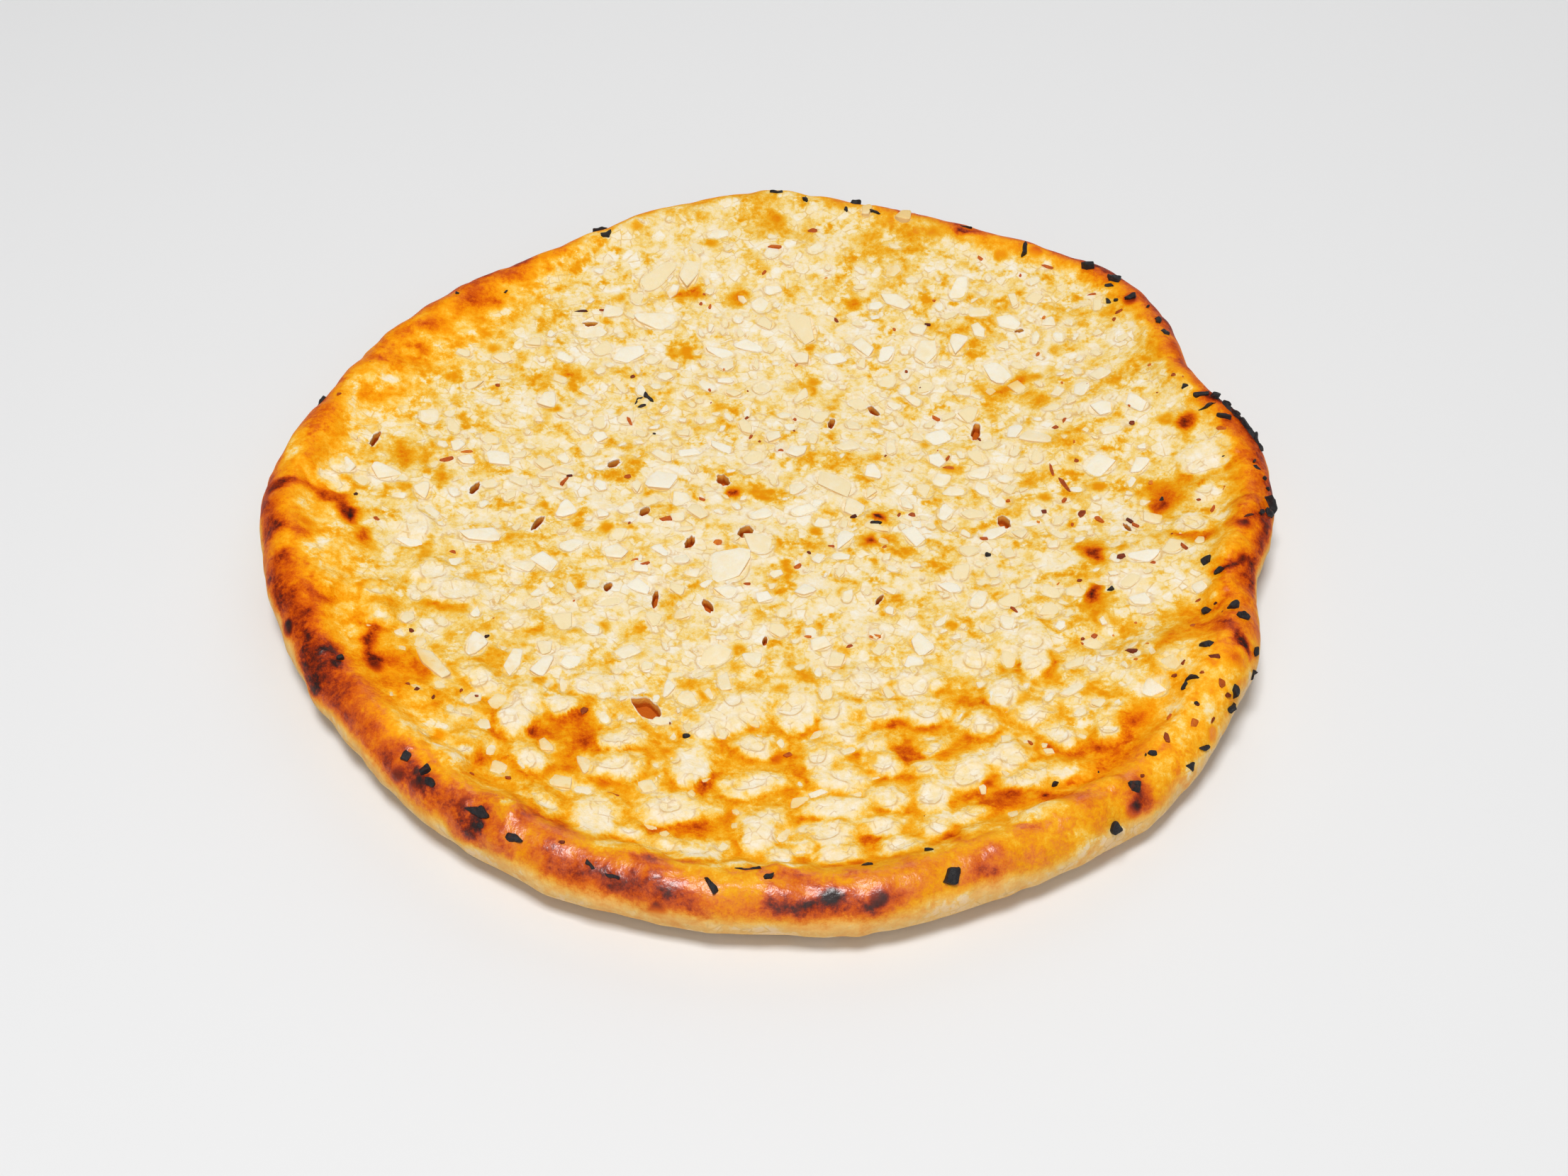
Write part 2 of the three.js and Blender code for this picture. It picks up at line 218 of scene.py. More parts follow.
# garlic in the crust; slices that can be told apart: (x, y, length, width, turn)
garlic = {
    "slices": [
        (-12, -15, 12, 10, 85), (-5, -7, 9, 7, -35), (15, 15, 12, 6, -40), (7, 76, 13, 6, -70),
        (-34, 77, 12, 6, 0), (-25, 96, 12, 5, 80), (-34, 94, 13, 6, 55), (-52, 72.5, 9, 4.5, 8),
        (-41, 64, 9, 6, 20), (-113, 6, 9, 4.5, -35), (-111, 13.5, 6, 4, -60), (-75, -7, 10, 5, 10),
        (-92, -11, 7, 4.5, 0), (-30, 16, 8, 7, 60), (-25, 9, 5, 5, 20), (-54, 4, 6, 5, 60),
        (41, 65, 8, 6, 80), (51, 88, 9, 5, 80), (60, 56, 9, 6, -60), (64, 75, 7, 5, -40),
        (75, 73, 4, 3.6, 20), (84, 18, 8, 7, 30), (94, 16, 6, 3.5, 60), (86, 37, 6, 5, -20),
        (95, 37, 7, 4, -50), (111, 13, 10, 3.5, 15), (91, -18, 8, 4, -5), (-82, -52, 13, 4, -50),
        (36.4, 115.7, 5.5, 4.4, 80), (25.8, 118, 4.6, 3, 80), (33, 85, 9, 4.5, -40), (50, 67, 8, 5, 80),
        (24, 67, 7, 4, -60), (30, 65, 7, 4, 75), (6, 64, 6, 4, -30), (16, 64, 6, 4, 10), (-8, 69, 8, 4, -20),
        (-16, 66, 8, 3.5, -15), (-14, 61, 4.2, 4, 80), (69, 30, 9, 5, -20), (63, 33, 5, 4, 70),
        (55, -4, 7, 4, 15), (17, -6, 8, 4, 70), (35, -5, 7, 4.5, -70), (35, -42, 7, 5, -60),
        (43, -23, 6, 4, -10), (7, 5, 7, 3, 20), (5, 13, 5, 4, 30), (-72, -45, 8, 4.6, 80),
        (-63, -50, 9, 3.6, 80), (-56, -51, 7, 4, 70), (-85, -22, 5.5, 4.5, 20), (-78, -28, 9, 5, 20),
        (-64, -16.5, 7, 3.4, -10), (-58, -15, 7, 5, -50), (-64, -37, 4.5, 3.6, 20), (-47, 32, 4, 4, 85),
        (-73, 22, 7, 5, -10), (-84, 25, 4, 3.6, 40), (-91, 7, 4, 5.5, 10), (-83, 8, 3.4, 2.6, -60),
        (-56, 24, 3.4, 2.8, -40), (-67, 14, 5, 2.8, -20), (-46, 14, 4.4, 3, -70), (-101, 12, 5, 8, 70),
        (-23, 27, 6, 3, 5), (-15, 29, 7, 3, -30), (-1, 33, 5, 4, 70), (43, 33, 7, 5, 15),
        (46, 12, 6, 3.4, -5), (53, 18, 6, 4, 10), (42, 24, 5, 4, -50), (-34, -22, 6, 4, -30),
        (-24, -13, 4, 3.4, 10), (-41, -10, 6, 5, -30), (-13, -24, 6, 4, -20), (-3, -26, 4, 3.6, 10),
        (7, -24, 4.4, 4.2, 40), (-15, -46, 9, 6, 40), (-36, -45, 6, 4, 20), (33, -48, 5, 4, 10),
        (-25.5, -57, 6, 2.6, 80), (-27, -68, 5, 2.6, 10), (-32.5, -58, 3.4, 1.8, 30),
        (-28.4, -60.2, 2.6, 1.6, 80), (-113, 12, 5, 3, -50),
    ],
    "seed": 11,
    "count": 560,
    "largest": 6.2,
    "smallest": 1.7,
    "spread": 122,              # the small ones are thrown out to here
    "tries": 40,
    "swell": 1.1,               # a chip's size against the dip that holds it
    "thickness": 1.6,
    "smallThickness": 1.1,
    "smallUpTo": 3,
    "sliceProud": (0.05, 0.35),
    "bitProud": (-0.25, 0.3),
    "sliceTone": (0.4, 1),      # 0 is dull, 1 is white
    "bitTone": (-0.2, 0.8),
    "dullFrom": 7,              # the longer a slice is past this, the duller
    "dulling": 0.07,
    "corners": (4, 5, 4, 4, 3, 5, 4, 4, 5, 3, 4),   # one cut chip for each, used by turns
    "shapeSeed": 40,
    "uneven": 0.2,
    "crispness": 26,
    "cuts": 0,
    "crumble": 0,
    "shadeAngle": 55,
    "outline": 2.6,             # 2 is an oval, more is squarer
    "pocket": 0.42,             # how deep the crust dips under a chip
    "lip": 0.12,
    "lean": 0.09,               # how far a chip may tip, so that one edge sinks in
    "burns": 0.72,              # a small chip on crust baked further than this has burnt away
    "far": 3,                   # the furthest that a distance to a chip or a lump is told
}

# lumps of garlic under the skin of the crust, pale in the browned front: (x, y, length, width, turn)
lumps = {
    "places": [
        (-11, -66, 22, 10, 40), (-19, -82, 14, 9, 78), (5, -64, 12, 9, 85), (14, -66, 10, 6, 75),
        (-3, -103, 15, 7, 75), (13, -96, 15, 6, 4), (12, -104, 10, 8, 20), (-40, -100, 13, 10, 85),
        (-22, -97, 16, 9, 5), (-5, -88, 12, 7, 15), (-5, -76, 9, 7, 0), (15, -87, 11, 7, 0),
        (44, -86, 12, 8, 60), (62, -47, 16, 7, 85), (66, -74, 10, 6, -50), (53, -81, 9, 8, 30),
        (66, -86, 15, 6, 3), (77, -73, 11, 7, 80), (33, -55, 11, 9, 30), (20, -55, 10, 8, -60),
        (54, -60, 10, 9, 60), (-60, -67, 15, 9, 75), (-44, -57, 9, 6, 0), (-36, -84, 11, 8, 0),
        (-36, -75, 10, 7, 20), (-50, -65, 7, 6, 0), (-71, -80, 9, 8, 60), (-56, -82, 9, 6, -50),
        (-52, -97, 9, 6, -40), (-73, -85, 8, 5, -60), (-17, -111, 10, 6, -10), (-24, -108, 7, 4, 0),
        (1, -111, 6, 4, 0), (14, -110, 10, 5, 0), (27, -108, 9, 5, 10), (36, -103, 7, 6, 30),
        (44, -105, 8, 5, 30), (24, -102, 8, 5, 0), (44, -99, 8, 4, 30), (25, -93, 8, 6, -30),
        (36, -92, 9, 7, 80), (11, -80, 11, 6, 80), (25, -82, 7, 6, 0), (23, -76, 7, 5, 30),
        (37, -77, 8, 4, 40), (34, -84, 5, 4, 20), (3, -116.5, 7, 4, 0), (-8, -115, 8, 3.5, 5),
        (6, -108, 6, 4, 20), (-33, -104, 5, 4, 0), (-60, -100, 8, 5, -40), (48, -70, 8, 7, 80),
        (60, -67, 9, 7, 30), (16, -72, 5, 6, 90), (47, -48, 8, 8, 0), (24, -65, 8, 7, 20),
        (35, -65, 9, 8, 60), (56, -89, 9, 5, 10), (-64, -36, 8, 6, 20), (-79, -28, 12, 8, 10),
        (-85, -22, 8, 7, 20), (-70, -57, 9, 6, -50), (-60, -110, 8, 4, -30), (-29, -112, 9, 4, -12),
        (58, -102, 9, 4, 25), (72, -94, 7, 3, 10), (-115, 10, 16, 10, -55), (-96, -38, 7, 6, 0),
        (-109, -32, 7, 6, 60), (-98, -31, 7, 6, 0), (-91, -5, 8, 12, 10), (104, -8, 7, 8, 20),
        (109, 4, 6, 6, 0), (111, 16, 14, 9, 20), (112, -22, 5, 5, 0), (106, -35, 6, 4, 30),
        (117, -7, 8, 4, 60), (-104, 47, 12, 9, 40),
    ],
    "rise": 1.1,
    "shrink": 0.3,
    "softFront": 1.4,           # mm over which the pale skin fades out on the side facing front
    "softBack": 4.4,
    "ragged": 1.2,
    "rimFade": 1.6,             # how much less of a lump shows through the browned rim
    "outline": 2.3,
    "sliceUpTo": 13,            # shorter lumps show a slice of garlic on top
    "sliceInset": 15,
    "sliceLength": 0.58,
    "sliceWidth": 0.6,
}

# torn holes in the top crust: (x, y, length, width, turn)
holes = {
    "places": [
        (-30.5, -63.5, 9.5, 6, -50), (-14, 16, 5.6, 3.4, -60), (-34, 4, 4.4, 2.6, 60),
        (-22, -7, 5.2, 2.6, 70), (-8, -3, 5.4, 3.8, 50), (-43, 22, 4.6, 2.6, 45), (-78, 10, 6, 2.2, 70),
        (-61, -1, 7, 2, 65), (-42, -23, 4, 2.4, 75), (-30, -27, 7.6, 1.9, 88), (-17, -29, 6, 2.6, -65),
        (26, 43.5, 5.6, 2.6, -50), (14.6, 38, 5, 2.2, 75), (53, 34, 7.4, 2.8, 80), (58, 0, 6.4, 3.6, -75),
        (-105, 24, 7, 2, 75), (-2.8, -41, 4, 1.4, 80), (25.4, -27.5, 4.2, 1.4, 60), (88.6, -6, 4.4, 1.6, -70),
        (67, 71.4, 3.4, 1.6, 0), (-52, 75.4, 5, 1.4, 8),
    ],
    "depth": 3,
    "corners": 16,
    "ragged": 0.16,
    "foot": 0.72,               # how much narrower a hole is at its foot
    "mouth": 1.05,
    "above": 3,                 # how far a plug stands out over the crust
    "painted": 0.75,            # how far past its edge a hole is painted, where the crust is sunk
    "sunkFrom": 0.9,
    "lowest": 0.8,
    "outTo": 112,
    # mm down at which a hole's floor has its full painted shade
    "fullShade": 2,
    "seed": 5,
}


def dartChips(rule, room):
    # the largest first, each thrown until it lies clear of the holes and of the chips before it
    rng = np.random.default_rng(rule["seed"])
    rows = list(rule["slices"])
    for x, y, length, width, turn in lumps["places"]:
        along, across = rng.uniform(-0.15, 0.15, 2) * length
        if length < lumps["sliceUpTo"] and insetAt(x, y) > lumps["sliceInset"]:
            rows.append((x + along, y + across, lumps["sliceLength"] * length, lumps["sliceWidth"] * width,
                         turn + rng.uniform(-25, 25)))
    rule["slicesShown"] = len(rows)
    taken = [(x, y, (length + width) / 2) for x, y, length, width, turn in rows + holes["places"]]
    placed = np.zeros((rule["count"] + len(taken), 3))
    placed[:len(taken)] = taken
    count = len(taken)
    for number in range(rule["count"]):
        share = number / rule["count"]
        length = rule["largest"] * (rule["smallest"] / rule["largest"]) ** share
        for attempt in range(rule["tries"]):
            radius, angle = rule["spread"] * math.sqrt(rng.random()), math.radians(360 * rng.random())
            x, y = radius * math.cos(angle), radius * math.sin(angle)
            others = placed[:count]
            clear = np.hypot(others[:, 0] - x, others[:, 1] - y) > 0.5 * (others[:, 2] + length)
            if rng.random() < room(x, y) and clear.all():
                placed[count] = (x, y, length)
                count += 1
                rows.append((x, y, length, length * rng.uniform(0.4, 0.9), 360 * rng.random()))
                break
    return rows


def chipRoom(x, y):
    # how readily the crust holds a chip: less at the rim, on the left, at the back and in the browned front
    room = smooth(9, 34, insetAt(x, y))
    room = room * (1 - 0.8 * smooth(-78, -100, x)) * (1 - 0.5 * smooth(78, 100, y))
    room = room * (1 - 0.6 * smooth(-40, -75, x) * smooth(30, 70, y)) * (1 - 0.25 * smooth(-66, -90, y))
    return max(room, 0.03)


chips = dartChips(garlic, chipRoom)
print("garlic chips placed:", len(chips))


def nearOval(x, y, row, power):
    # distance in mm outside an oval's edge, less than nothing inside it
    atX, atY, length, width, turn = row
    u, v = alongAxes(x - atX, y - atY, turn)
    u, v = np.abs(u / (length / 2)), np.abs(v / (width / 2))
    return ((u ** power + v ** power) ** (1 / power) - 1) * math.sqrt(length * width) / 2


def nearby(x, y, row, margin):
    # the places close to a chip or a lump, and whether they lie in front of it (1) or behind it (-1)
    reach = row[2] / 2 + margin
    near = np.flatnonzero((np.abs(x - row[0]) < reach) & (np.abs(y - row[1]) < reach))
    return near, (row[1] - y[near]) / (np.hypot(x[near] - row[0], y[near] - row[1]) + 0.1)


def stampGarlic(points):
    # what the chips and lumps do to the crust: its skin raised or dented in mm, how far off the nearest chip
    # is in mm, how far off the nearest lump is (1 is where its pale skin ends), which side of the chip this is,
    # and the darker crease on the front side of a lump, partly browning and partly painted shade
    x, y = points[:, 0], points[:, 1]
    ragged = hills(points, 4.2, 6) + 0.6 * hills(points, 1.9, 7)
    dip, lip, rise, side, shadedCrease = (np.zeros_like(x) for each in range(5))
    chipAway, lumpAway = np.full_like(x, garlic["far"]), np.full_like(x, garlic["far"])
    for row in chips:
        near, front = nearby(x, y, row, 3)
        away = nearOval(x[near], y[near], row, garlic["outline"])
        dip[near] = np.maximum(dip[near], garlic["pocket"] * smooth(0.55, -0.5, away))
        lip[near] = np.maximum(lip[near], garlic["lip"] * np.exp(-(((away - 1.1) / 0.6) ** 2)))
        closer = away < chipAway[near]
        side[near] = np.where(closer, front, side[near])
        chipAway[near] = np.minimum(chipAway[near], away)
    for row in lumps["places"]:
        near, front = nearby(x, y, row, 5)
        away = nearOval(x[near], y[near], row, lumps["outline"])
        away = away + lumps["ragged"] * ragged[near] + lumps["shrink"]
        soft = lumps["softBack"] + (lumps["softFront"] - lumps["softBack"]) * smooth(-0.7, 0.8, front)
        rise[near] = np.maximum(rise[near], lumps["rise"] * smooth(0.8 * soft, -1.6, away))
        lumpAway[near] = np.minimum(lumpAway[near], away / soft)
        # the crease on a lump's front side: partly browning, partly painted shade
        shadedCrease[near] = np.maximum(shadedCrease[near], smooth(0, 0.7, front) * np.exp(-(((away - 1.7) / 1.5) ** 2)))
    return lip + rise - dip, chipAway, lumpAway, side, shadedCrease * smooth(0.2, 1, lumpAway)


# how brown the crust is: 0 is pale dough, 0.45 golden, 0.65 orange, 0.8 red-brown, 1 black
browning = {
    # the browned band along the rim: angle, how far in it reaches, how brown it is
    "band": [
        (0, 15, 0.68), (10, 14, 0.69), (20, 13, 0.69), (32, 13, 0.69), (45, 15, 0.71), (58, 16, 0.72),
        (70, 12, 0.65), (90, 9, 0.54), (105, 10, 0.54), (118, 16, 0.6), (130, 26, 0.68), (145, 32, 0.66),
        (160, 31, 0.64), (175, 29, 0.72), (190, 32, 0.74), (205, 32, 0.76), (220, 30, 0.7), (232, 25, 0.69),
        (245, 21, 0.69), (258, 18, 0.73), (270, 17, 0.73), (285, 17, 0.72), (298, 20, 0.58), (310, 27, 0.5),
        (320, 30, 0.45), (330, 26, 0.5), (338, 21, 0.6), (350, 16, 0.66),
    ],
    "golden": 0.45,             # the inner part of that band
    "rimInner": 16,             # mm in from the edge where the deeper brown of the rim has gone
    "middle": 0.25,
    "leftMore": 0.04,           # how much browner than the middle the left side is
    "rightMore": 0.01,
    "backMore": 0.02,
    "backEdgeMore": 0.16,       # the thin browned edge at the back
    "lace": 0.47,               # the net between the lumps at the front
    "darkest": 0.96,
    "bandSway": 0.22,
    "mottle": 0.05,             # how uneven the brown is, and how much more so at the rim and at the front
    "rimMottle": 0.11,
    "frontMottle": 0.03,
    "patchStrength": 1.35,
    "patchMost": 0.9,
    "scorch": 0.26,             # dark streaks along the top of the browned rim
    "scorchMost": 0.84,
    "streaks": [(4.8, 2.8, 1), (11, 3, 0.45)],  # how far in, how wide, how strong
    "shadedCrease": 0.17,             # the darker crease on a lump's front side: partly browning, partly painted shade
    "sideBake": 0.32,           # the outer side of the rim, below its browned crest
    "sideKeeps": 0.35,
    "under": 0.16,              # the hidden side, and the brown spots that the hot oven left on it
    "underSpots": 0.6,
    # patches: (x, y, along, across, turn, how much browner)
    "patches": [
        (25.5, 2, 1.8, 1.5, 0, 0.36), (24.6, -5.4, 1.3, 1.4, 0, 0.25), (-10, 12, 1.6, 1.6, 0, 0.3),
        (79, -15.5, 1.6, 2, 0, 0.25), (78, -27.6, 1.7, 2.2, 0, 0.22), (26, 1, 3, 3, 0, 0.45),
        (24, -6, 3.5, 4, 90, 0.32), (29, -5, 2.4, 2.4, 0, 0.35), (28, 6, 2, 2, 0, 0.25),
        (-10, 12, 3, 3, 0, 0.45), (-3, 9, 4, 2.4, 0, 0.25), (-17, 44, 2.6, 2.6, 0, 0.28),
        (-23, 37, 3, 2.6, 0, 0.25), (-37, 17, 4, 3, 0, 0.25), (-24, -18, 5, 3, 0, 0.26),
        (-25, -33, 4, 2, 0, 0.22), (-3, -31, 5, 2, 10, 0.26), (12, -10, 2.4, 5, 0, 0.22),
        (34, -12, 4, 2, -10, 0.2), (49, -2, 2, 2.6, 0, 0.22), (26, 25, 2, 4, 0, 0.15),
        (79, -15, 3, 6, 20, 0.52), (78, -28, 3, 5, 0, 0.55), (77, -36, 3, 4, 0, 0.2), (66, 14, 4, 4, 0, 0.38),
        (76, 27, 4, 4, 0, 0.25), (66, 52, 5, 2.6, 20, 0.42), (64, 48, 6, 3, 0, 0.2), (71, 45, 4, 3, 0, 0.32),
        (57, 49, 5, 3, 0, 0.3), (72, 28, 4, 3, 0, 0.2), (97, -1, 3, 4.4, 0, 0.42), (98, 5, 5, 6, 0, 0.3),
        (108, 7, 5, 2, 30, 0.3), (103.5, -11.5, 9, 4, 10, 0.22), (82, -7, 2, 8, 0, 0.18),
        (64, 5, 4, 4, 0, 0.18), (58, 39, 2, 7, 0, 0.22), (46, 73, 7, 2.6, 0, 0.3), (80, 74, 4, 5, 0, 0.18),
        (56, 84, 3, 2, 0, 0.2), (21, 85, 2.4, 3.4, 0, 0.36), (-12, 86, 5, 2.4, 0, 0.42),
        (-24, 88, 6, 3, 20, 0.42), (-31, 86, 7, 1.4, 15, 0.25), (-6, 97, 3, 6, 0, 0.26),
        (-1, 114, 9, 6, 0, 0.3), (34, 95, 6, 4, -10, 0.24), (29, 104, 4, 8, 20, 0.2),
        (38, 106, 8, 4, 10, 0.2), (-58, 54, 6, 3, 0, 0.34), (-44, 57, 9, 2, 10, 0.2),
        (-75, 47, 4, 3, 0, 0.15), (-87, 14, 3, 5, 30, 0.34), (-97, 20, 4, 4, 0, 0.34),
        (-98, 6, 5, 4, 0, 0.22), (-88, -8, 3, 12, 0, 0.24), (-94, -32, 3, 14, 0, 0.2),
        (-65, -6, 9, 2.4, 25, 0.24), (-55, -18, 6, 3, 10, 0.2), (-83, -34, 9, 4, 0, 0.25),
        (-68, -48, 5, 6, 0, 0.3), (-58, -37, 9, 4, -20, 0.24), (-86, -50, 4, 8, 30, 0.3),
        (-46, -68, 3, 8, 0, 0.3), (-43, -75, 5, 3, -20, 0.34), (-54, -74, 3, 4, 0, 0.3),
        (-66, -67, 3, 3, 0, 0.3), (-47, -82, 3, 5, 0, 0.26), (-66, -83, 6, 3, -30, 0.28),
        (-10, -100, 2.4, 6, 15, 0.34), (-28, -103, 6, 2.6, -10, 0.26), (-16, -104, 4, 2.4, 0, 0.26),
        (3, -86, 2.6, 9, 0, 0.22), (4, -98, 3, 6, 0, 0.2), (22, -106, 6, 3, 0, 0.28), (29, -79, 3, 4, 0, 0.4),
        (42, -76, 5, 5, 0, 0.25), (25, -68, 4, 3, 0, 0.2), (50, -95, 7, 4, 10, 0.36),
        (84, -70, 6, 3, 40, 0.34), (78, -84, 8, 4, 15, 0.3), (58, -50, 5, 5, 0, 0.25),
        (66, -52, 2, 10, 0, 0.2), (85, -41.5, 20, 2.4, 18, 0.24), (90, -50.5, 7, 1.8, 55, 0.3),
        (-20, -55, 5, 2, 40, 0.25), (-10, -76, 7, 1.6, 25, 0.22), (-4, -69, 4, 2, 40, 0.2),
        (10, -53, 6, 2, 0, 0.18), (5, -48, 7, 2, 0, 0.2), (46, -62, 8, 3, -10, 0.2),
        (-34, -96, 3, 6, 30, 0.2), (-16, -92, 3, 6, 0, 0.2), (38, -106, 5, 2, 0, 0.2),
        (-52, -105, 6, 2, -35, 0.22), (-95, -53, 8, 6, 30, 0.16), (-88, -62, 9, 6, -30, 0.16),
        (101, 6, 7, 6, 30, 0.2), (107, 10, 4, 4, 0, 0.12), (106.5, -12, 7, 3.5, -10, 0.24),
        (98.6, -44, 8, 4, 35, 0.28), (104, -58, 3.4, 5, 30, 0.24), (-40, -12, 7, 4, 20, 0.12),
        (12, 22, 8, 4, -20, 0.12), (52, -22, 5, 7, 0, 0.14), (-66, 34, 8, 5, 20, 0.14),
        (5, 52, 9, 4, 10, 0.12), (92, 48, 6, 7, 0, 0.14), (40, -32, 7, 4, 10, 0.14),
        # the dark blotches of the rim
        (-125.5, 1.5, 4, 2.4, 20, 0.8), (-118, 3, 9, 1.6, 0, 0.22), (-113, 0.6, 3.6, 1.8, 0, 0.6),
        (-108.6, -4.4, 2.6, 3.6, 20, 0.7), (-103, -11.5, 2.8, 4.4, 0, 0.56), (-123.5, -14, 3, 2.4, 20, 0.5),
        (-121, -24.5, 4, 2, 60, 0.5), (-122, -30, 2, 1.6, 0, 0.3), (-117.4, -16.5, 3, 3, 0, 0.36),
        (-117.5, -37, 3.4, 3.4, 20, 0.62), (-112.5, -43.5, 3.6, 3, 0, 0.5), (-106, -52, 4, 5, 30, 0.42),
        (-109, -58, 3, 5, 25, 0.5), (-102, -58, 2, 3.2, 0, 0.46), (-97, -46, 2, 5.6, 20, 0.62),
        (-94, -53, 4, 2.4, 0, 0.3), (-90, -80, 3, 8, 40, 0.24), (-84, -87, 2.4, 7, 40, 0.34),
        (-77, -94, 2, 6, 50, 0.46), (-72, -99, 5, 2, -40, 0.2), (-62, -106, 6, 1.6, -35, 0.2),
        (-46, -114.5, 5, 2, -18, 0.24), (-38, -117, 3.6, 2.2, -25, 0.34), (-30, -115, 4, 1.7, -15, 0.26),
        (-22, -118.5, 7, 1.2, -12, 0.2), (-4, -118, 5, 1.4, 0, 0.3), (4, -120, 6, 3, 0, 0.2),
        (3, -126, 3, 1.8, 0, 0.32), (17, -118, 4, 2.4, 25, 0.36), (13, -124, 3, 2.6, 0, 0.18),
        (12, -128, 5, 1.8, 10, 0.28), (28, -115, 3, 3, 0, 0.26), (46, -113, 4, 1.8, 10, 0.28),
        (47, -116, 3, 2, 40, 0.22), (58, -108, 6, 2.4, 20, 0.18), (65, -97, 4, 3, 30, 0.34),
        (61, -95, 2.2, 1.6, 30, 0.5), (68, -101, 4, 4, 0, 0.2), (80.6, -95.8, 2.6, 3.2, 20, 0.75),
        (77, -92, 4, 2, 0, 0.22), (94, -86, 4, 3, 40, 0.16), (107.4, -50, 2.4, 6, 40, 0.4),
        (109.8, -54.6, 1.5, 4, 30, 0.55), (104, -47, 5, 3, 20, 0.24), (113.4, -25, 4.4, 1.7, 35, 0.44),
        (108.6, -28, 3, 1.4, 20, 0.5), (121.4, -14.6, 1.5, 4, 10, 0.5), (121.4, -9, 2.4, 2.4, 30, 0.5),
        (122, 11, 2.4, 2.4, 0, 0.24), (106.3, 27, 2.4, 2.7, 0, 0.95), (106, 22.6, 3, 3, 0, 0.2),
        (118, 26, 3, 3, 0, 0.35), (120.6, 21.6, 3, 2.8, 0, 0.44), (112, 34, 4, 2.4, 30, 0.32),
        (116, 33.5, 3.4, 2.6, 0, 0.6), (123.5, 23, 1.4, 6, 28, 0.6), (103, 55, 7, 6, 40, 0.14),
        (98, 78, 3, 4, 60, 0.26), (92, 74, 3, 2.4, 0, 0.3), (94, 88, 4, 5, 40, 0.24), (105, 66, 3, 3, 0, 0.3),
        (77, 105, 5, 3, -20, 0.26), (66, 113, 6, 2, -20, 0.2), (54.7, 109.6, 4.4, 1.8, -12, 0.7),
        (27, 126, 5, 2, -10, 0.2), (-6, 122, 8, 6, 0, 0.14), (-40, 117, 8, 2, 15, 0.12),
        (-85, 90, 4, 4, 40, 0.34), (-85, 83, 4, 4, 0, 0.26), (-84, 78, 3, 2, 0, 0.3),
        (-78, 78, 3, 2, 30, 0.34), (-102, 75, 4, 3, 60, 0.28), (-97, 67, 7, 2, 20, 0.28),
        (-101, 63, 2.4, 2, 0, 0.3), (-97, 58.4, 3, 3, -40, 0.34), (-107, 53, 3, 2, 0, 0.2),
        (-89, 63.5, 3, 5, 0, 0.16),
    ],
}


def bakeTop(points, inset):
    # how brown the top and the rim are, how far a place belongs to the rim's band, and how much painted light
    # brightens it
    x, y = (points[:, axis] + 1.7 * (hills(points, 6, 21 + axis) + 0.5 * hills(points, 2.6, 26 + axis))
            for axis in range(2))
    angle = np.degrees(np.arctan2(y, x)) % 360
    bandAt, bandReach, bandBake = np.array(browning["band"]).T
    reach = np.interp(angle, bandAt, bandReach, period=360)
    band = np.interp(angle, bandAt, bandBake, period=360)
    reach = reach * (1 + browning["bandSway"] * hills(points, 22, 23))
    ring = smooth(1.15, 0.35, inset / reach)
    rim = smooth(browning["rimInner"], 4, inset + 3 * hills(points, 9, 30))
    front = smooth(-34, -80, y) * smooth(8, 16, inset)
    bake = browning["middle"] + (browning["lace"] - browning["middle"]) * front
    bake = bake + browning["leftMore"] * smooth(40, 95, -x) + browning["rightMore"] * smooth(40, 95, x)
    bake = bake + browning["backMore"] * smooth(95, 118, y)
    bake = bake + browning["backEdgeMore"] * smooth(6, 1, inset) * smooth(60, 100, y)
    golden = np.minimum(band, browning["golden"])
    bake = bake + (golden - bake) * ring
    bake = bake + (band - golden) * rim
    mottle = 0.7 * hills(points, 16, 24) + 0.5 * hills(points, 6, 25)
    bake = bake + mottle * (browning["mottle"] + browning["rimMottle"] * ring + browning["frontMottle"] * front)
    scorch = smooth(-0.3, 0.45, hills(points, 12, 28) + 0.4 * hills(points, 4, 29))
    line = sum(strong * np.exp(-(((inset - at) / wide) ** 2)) for at, wide, strong in browning["streaks"])
    scorch = browning["scorch"] * scorch * line * smooth(0.58, 0.7, band)
    scorch = scorch * (1 - 0.4 * smooth(60, 110, np.abs(x)))
    bake = np.maximum(bake, np.minimum(bake + scorch, browning["scorchMost"]))
    patch = np.minimum(browning["patchStrength"] * ovals(x, y, browning["patches"]), browning["patchMost"])
    # painted light: the rim's band and the browned front are to be brightened
    paintedLight = np.maximum(ring * (1 - 0.6 * smooth(-80, -105, y) * smooth(16, 9, inset)), 0.4 * front)
    return bake + patch * (browning["darkest"] - bake), ring, paintedLight


def bakeUnder(points):
    spots = smooth(0.15, 0.75, hills(points, 13, 31) + 0.35 * hills(points, 5, 32))
    return browning["under"] + 0.05 * hills(points, 20, 33) + browning["underSpots"] * spots


def deselectAll():
    if bpy.context.mode != "OBJECT":
        bpy.ops.object.mode_set(mode="OBJECT")
    bpy.ops.object.select_all(action="DESELECT")


def pick(obj):
    deselectAll()
    obj.select_set(True)
    bpy.context.view_layer.objects.active = obj


def vertexPlaces(obj):
    places = np.empty(len(obj.data.vertices) * 3)
    obj.data.vertices.foreach_get("co", places)
    return places.reshape(-1, 3)


def setPlaces(obj, places):
    obj.data.vertices.foreach_set("co", np.ascontiguousarray(places).ravel())
    obj.data.update()


